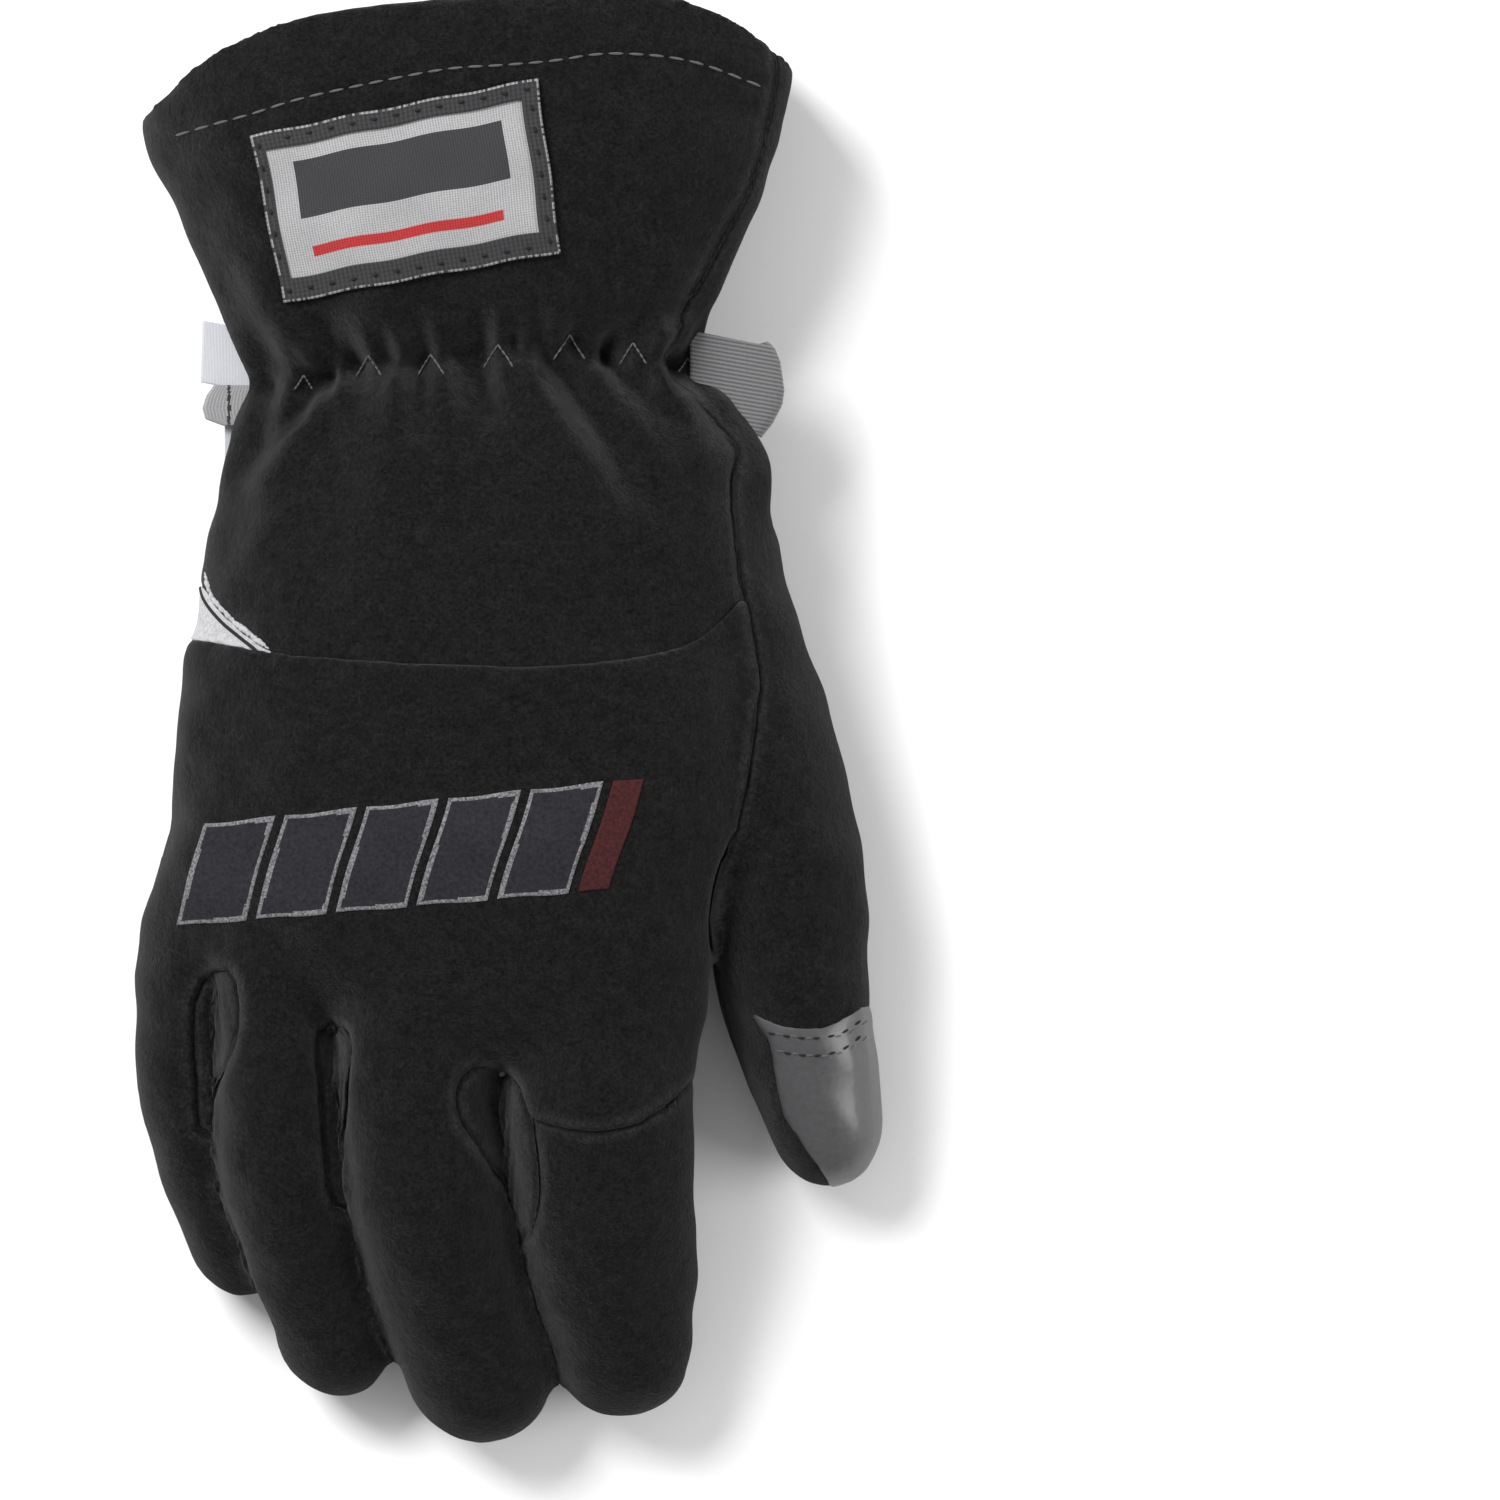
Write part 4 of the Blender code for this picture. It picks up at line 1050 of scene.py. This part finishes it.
def film_on_knuckles(name, corners):
    return laid_grid(name, corners, FILM_STEP, [panels["knuckle_panel"]], FILM * 1.3, evening=4)[0]


def outlined_film(name, corners):
    """A thin film on the knuckle panel whose outer faces have their own finish."""
    film = film_on_knuckles(name, corners)
    film.data.materials.append(print_fill)
    film.data.materials.append(print_outline)
    colour_faces(film, (from_edge(film, corners) < OUTLINE_WIDTH).astype(int))
    thicken(film, FILM)
    return film


def bar_corners(u_low, u_high):
    """The corners of a bar between two places along the band, the upper ones set over to the right."""
    lean = np.array([-1, -1, 1, 1]) * BAR_SLANT / 2
    u = np.array([u_low, u_high, u_high, u_low]) + lean
    return [tuple(corner) for corner in in_corners(np.array(PRINT_BAND), u, np.array([0.0, 0.0, 1.0, 1.0]))]


films = []
for k in range(BAR_COUNT):
    bar = bar_corners(k / BAR_COUNT * BARS_END, (k + 1) / BAR_COUNT * BARS_END - BAR_GAP)
    films.append(outlined_film("print_bar", bar))
knuckle_print = join_pieces(*films)
knuckle_print.name = "knuckle_print"
finish_piece(knuckle_print, "black_suede", print_fill, print_outline)
red_bar = film_on_knuckles("print_red_bar", bar_corners(BARS_END, 1.0))
thicken(red_bar, FILM)
finish_piece(red_bar, "black_suede", print_red)
print("print", len(knuckle_print.data.polygons), "faces")

# %% [markdown]
# ## Tags and the pull tab
# Cloth tags are caught in the side seam at the wrist, and a loop of webbing on the other side is for
# pulling the glove on. A tag is a thin bent sheet. A loop is a strip folded in two: its path runs out
# along the lower layer, turns round the fold and comes back along the upper one.


# %% Bent sheets and folded loops
def bent_sheet(name, corners, height, bend, thickness):
    """A flat sheet between four corners at a height, all in millimetres, that curls by bend."""
    sheet, unit = unit_grid(name, 24, 36)
    flat = in_corners(np.array(corners, float), unit[:, 0], unit[:, 1])
    rise = height + bend * np.sin(unit[:, 1] * 2.4) * (1 - unit[:, 0])
    move_points(sheet, np.hstack([flat, rise[:, None]]) * MM)
    thicken(sheet, thickness * MM)
    return sheet


def folded_loop(name, root, ends, heights, thickness):
    """A strip folded in two. root is x, lowest and highest y; ends gives y and x up along the fold."""
    loop, unit = unit_grid(name, 64, 40)
    along, across = unit.T
    ends = np.array(ends)
    root_y = root[1] + (root[2] - root[1]) * across
    end_y = ends[0, 0] + (ends[-1, 0] - ends[0, 0]) * across
    end_x = np.interp(end_y, ends[:, 0], ends[:, 1])
    radius = (heights[1] - heights[0]) / 2
    straight = np.abs(end_x - root[0]) - radius
    walked = along * (2 * straight + math.pi * radius)
    angle = np.clip((walked - straight) / radius, 0, math.pi)
    back = 2 * straight + math.pi * radius - walked
    past_fold = np.where(angle < math.pi, straight + radius * np.sin(angle), back)
    reach = np.where(walked < straight, walked, past_fold)
    x = root[0] + math.copysign(1, end_x.mean() - root[0]) * reach
    y = root_y + (end_y - root_y) * reach / straight
    z = heights[0] + radius * (1 - np.cos(angle))
    move_points(loop, np.stack([x, y, z], axis=1) * MM)
    thicken(loop, thickness * MM)
    return loop


white_tag = woven("white_tag", (0.46, 0.47, 0.5), (0.56, 0.57, 0.6), 40, 60)
grey_tag = woven("grey_tag", (0.19, 0.19, 0.195), (0.3, 0.3, 0.305), 36, 30)
tag_print = woven("tag_line", (0.02, 0.02, 0.02), (0.03, 0.03, 0.03), 36, 30)
UPPER_TAG = [(-62.0, 67.9), (-49.8, 65.7), (-50.0, 78.2), (-61.6, 80.3)]
LOWER_TAG = [(-57.2, 51.1), (-51.8, 51.1), (-50.4, 63.0), (-57.2, 64.0)]
size_tag = bent_sheet("size_tag_cloth", UPPER_TAG, 21.9, 0.7, 0.4)
lower_tag = bent_sheet("size_tag_lower", LOWER_TAG, 21.7, 0.4, 0.4)
join_pieces(size_tag, lower_tag)
finish_piece(size_tag, "white_tag", white_tag, node="size_tag")

CARE_TAG_ROOT = (-49.6, 59.4, 67.3)
CARE_TAG_ENDS = [(59.2, -57.5), (60.5, -61.0), (62.7, -61.6), (65.2, -60.8), (67.3, -59.3)]
care_tag = folded_loop("care_tag_loop", CARE_TAG_ROOT, CARE_TAG_ENDS, (23.4, 24.8), 0.35)
LINE_X = (-56.5, -55.9)
middles = face_middles(care_tag) / MM
colour_faces(care_tag, ((middles[:, 0] > LINE_X[0]) & (middles[:, 0] < LINE_X[1])).astype(int))
finish_piece(care_tag, "grey_tag", grey_tag, tag_print, node="care_tag")

# %% The pull tab's twill webbing
TWILL_PITCH = 0.8 * MM
TWILL_ANGLE = math.radians(100)


def twill(name, dark, light):
    """Webbing with slanting ribs across it, on Object coordinates."""
    material, nodes, links, shader = new_material(name)
    place = nodes.new("ShaderNodeTexCoord").outputs["Object"]
    turned = nodes.new("ShaderNodeMapping")
    set_inputs(turned, Rotation=(0, 0, TWILL_ANGLE))
    links.new(place, turned.inputs["Vector"])
    wave = nodes.new("ShaderNodeTexWave")
    set_inputs(wave, Scale=WAVE_SCALE / TWILL_PITCH, Distortion=0.8, Detail_Scale=300)
    links.new(turned.outputs["Vector"], wave.inputs["Vector"])
    fuzz = noise(nodes, links, place, 1800, 3, 0.6)
    ribs = mix(nodes, links, "MIX", 0.4, wave.outputs["Color"], fuzz)
    links.new(ramp(nodes, links, ribs, [(0.2, dark), (0.8, light)]), shader.inputs["Base Color"])
    links.new(bump(nodes, links, wave.outputs["Fac"], 0.5, 0.2 * MM), shader.inputs["Normal"])
    set_inputs(shader, Roughness=0.75, Sheen_Weight=0.2)
    return material


PULL_TAB_ROOT = (36.0, 64.5, 78.2)
PULL_TAB_ENDS = [(57.9, 49.4), (60.5, 51.6), (63.9, 53.4), (66.5, 53.8), (71.9, 53.0), (74.3, 52.0),
                 (75.4, 50.8)]
pull_tab = folded_loop("pull_tab_webbing", PULL_TAB_ROOT, PULL_TAB_ENDS, (24.8, 26.6), 1.1)
webbing = twill("grey_webbing", (0.06, 0.06, 0.062), (0.15, 0.15, 0.154))
finish_piece(pull_tab, "grey_webbing", webbing, node="pull_tab")
print("tags", [round(half_area(piece) / MM**2) for piece in (size_tag, care_tag, pull_tab)], "square mm")

# %% [markdown]
# ## Floor and light
# A plain white floor, a large soft light over the cuff's left, a weaker one from the other side, and a
# bright world make the even light of a product photograph.

# %% Stage
bpy.ops.object.select_all(action="DESELECT")
bpy.ops.mesh.primitive_plane_add(size=6, location=(0, 0, 0))
floor = bpy.context.object
floor.name = "floor"
floor_material, _, _, floor_shader = new_material("floor")
set_inputs(floor_shader, Base_Color=(0.9, 0.9, 0.9, 1), Roughness=1.0, Specular_IOR_Level=0.0)
floor.data.materials.append(floor_material)


def softbox(name, place, size, power):
    light = bpy.data.lights.new(name, "AREA")
    light.shape = "SQUARE"
    light.size = size
    light.energy = power
    lamp = new_object(name, light)
    lamp.location = place
    lamp.rotation_euler = (-Vector(place)).to_track_quat("-Z", "Y").to_euler()


softbox("key", (-0.9, 0.9, 1.2), 0.8, 42)
softbox("fill", (1.3, -0.2, 0.7), 0.8, 12)
world = bpy.data.worlds.new("world")
world.use_nodes = True
set_inputs(world.node_tree.nodes["Background"], Color=(1, 1, 1, 1), Strength=0.5)
bpy.context.scene.world = world
bpy.context.scene.view_settings.view_transform = "Standard"
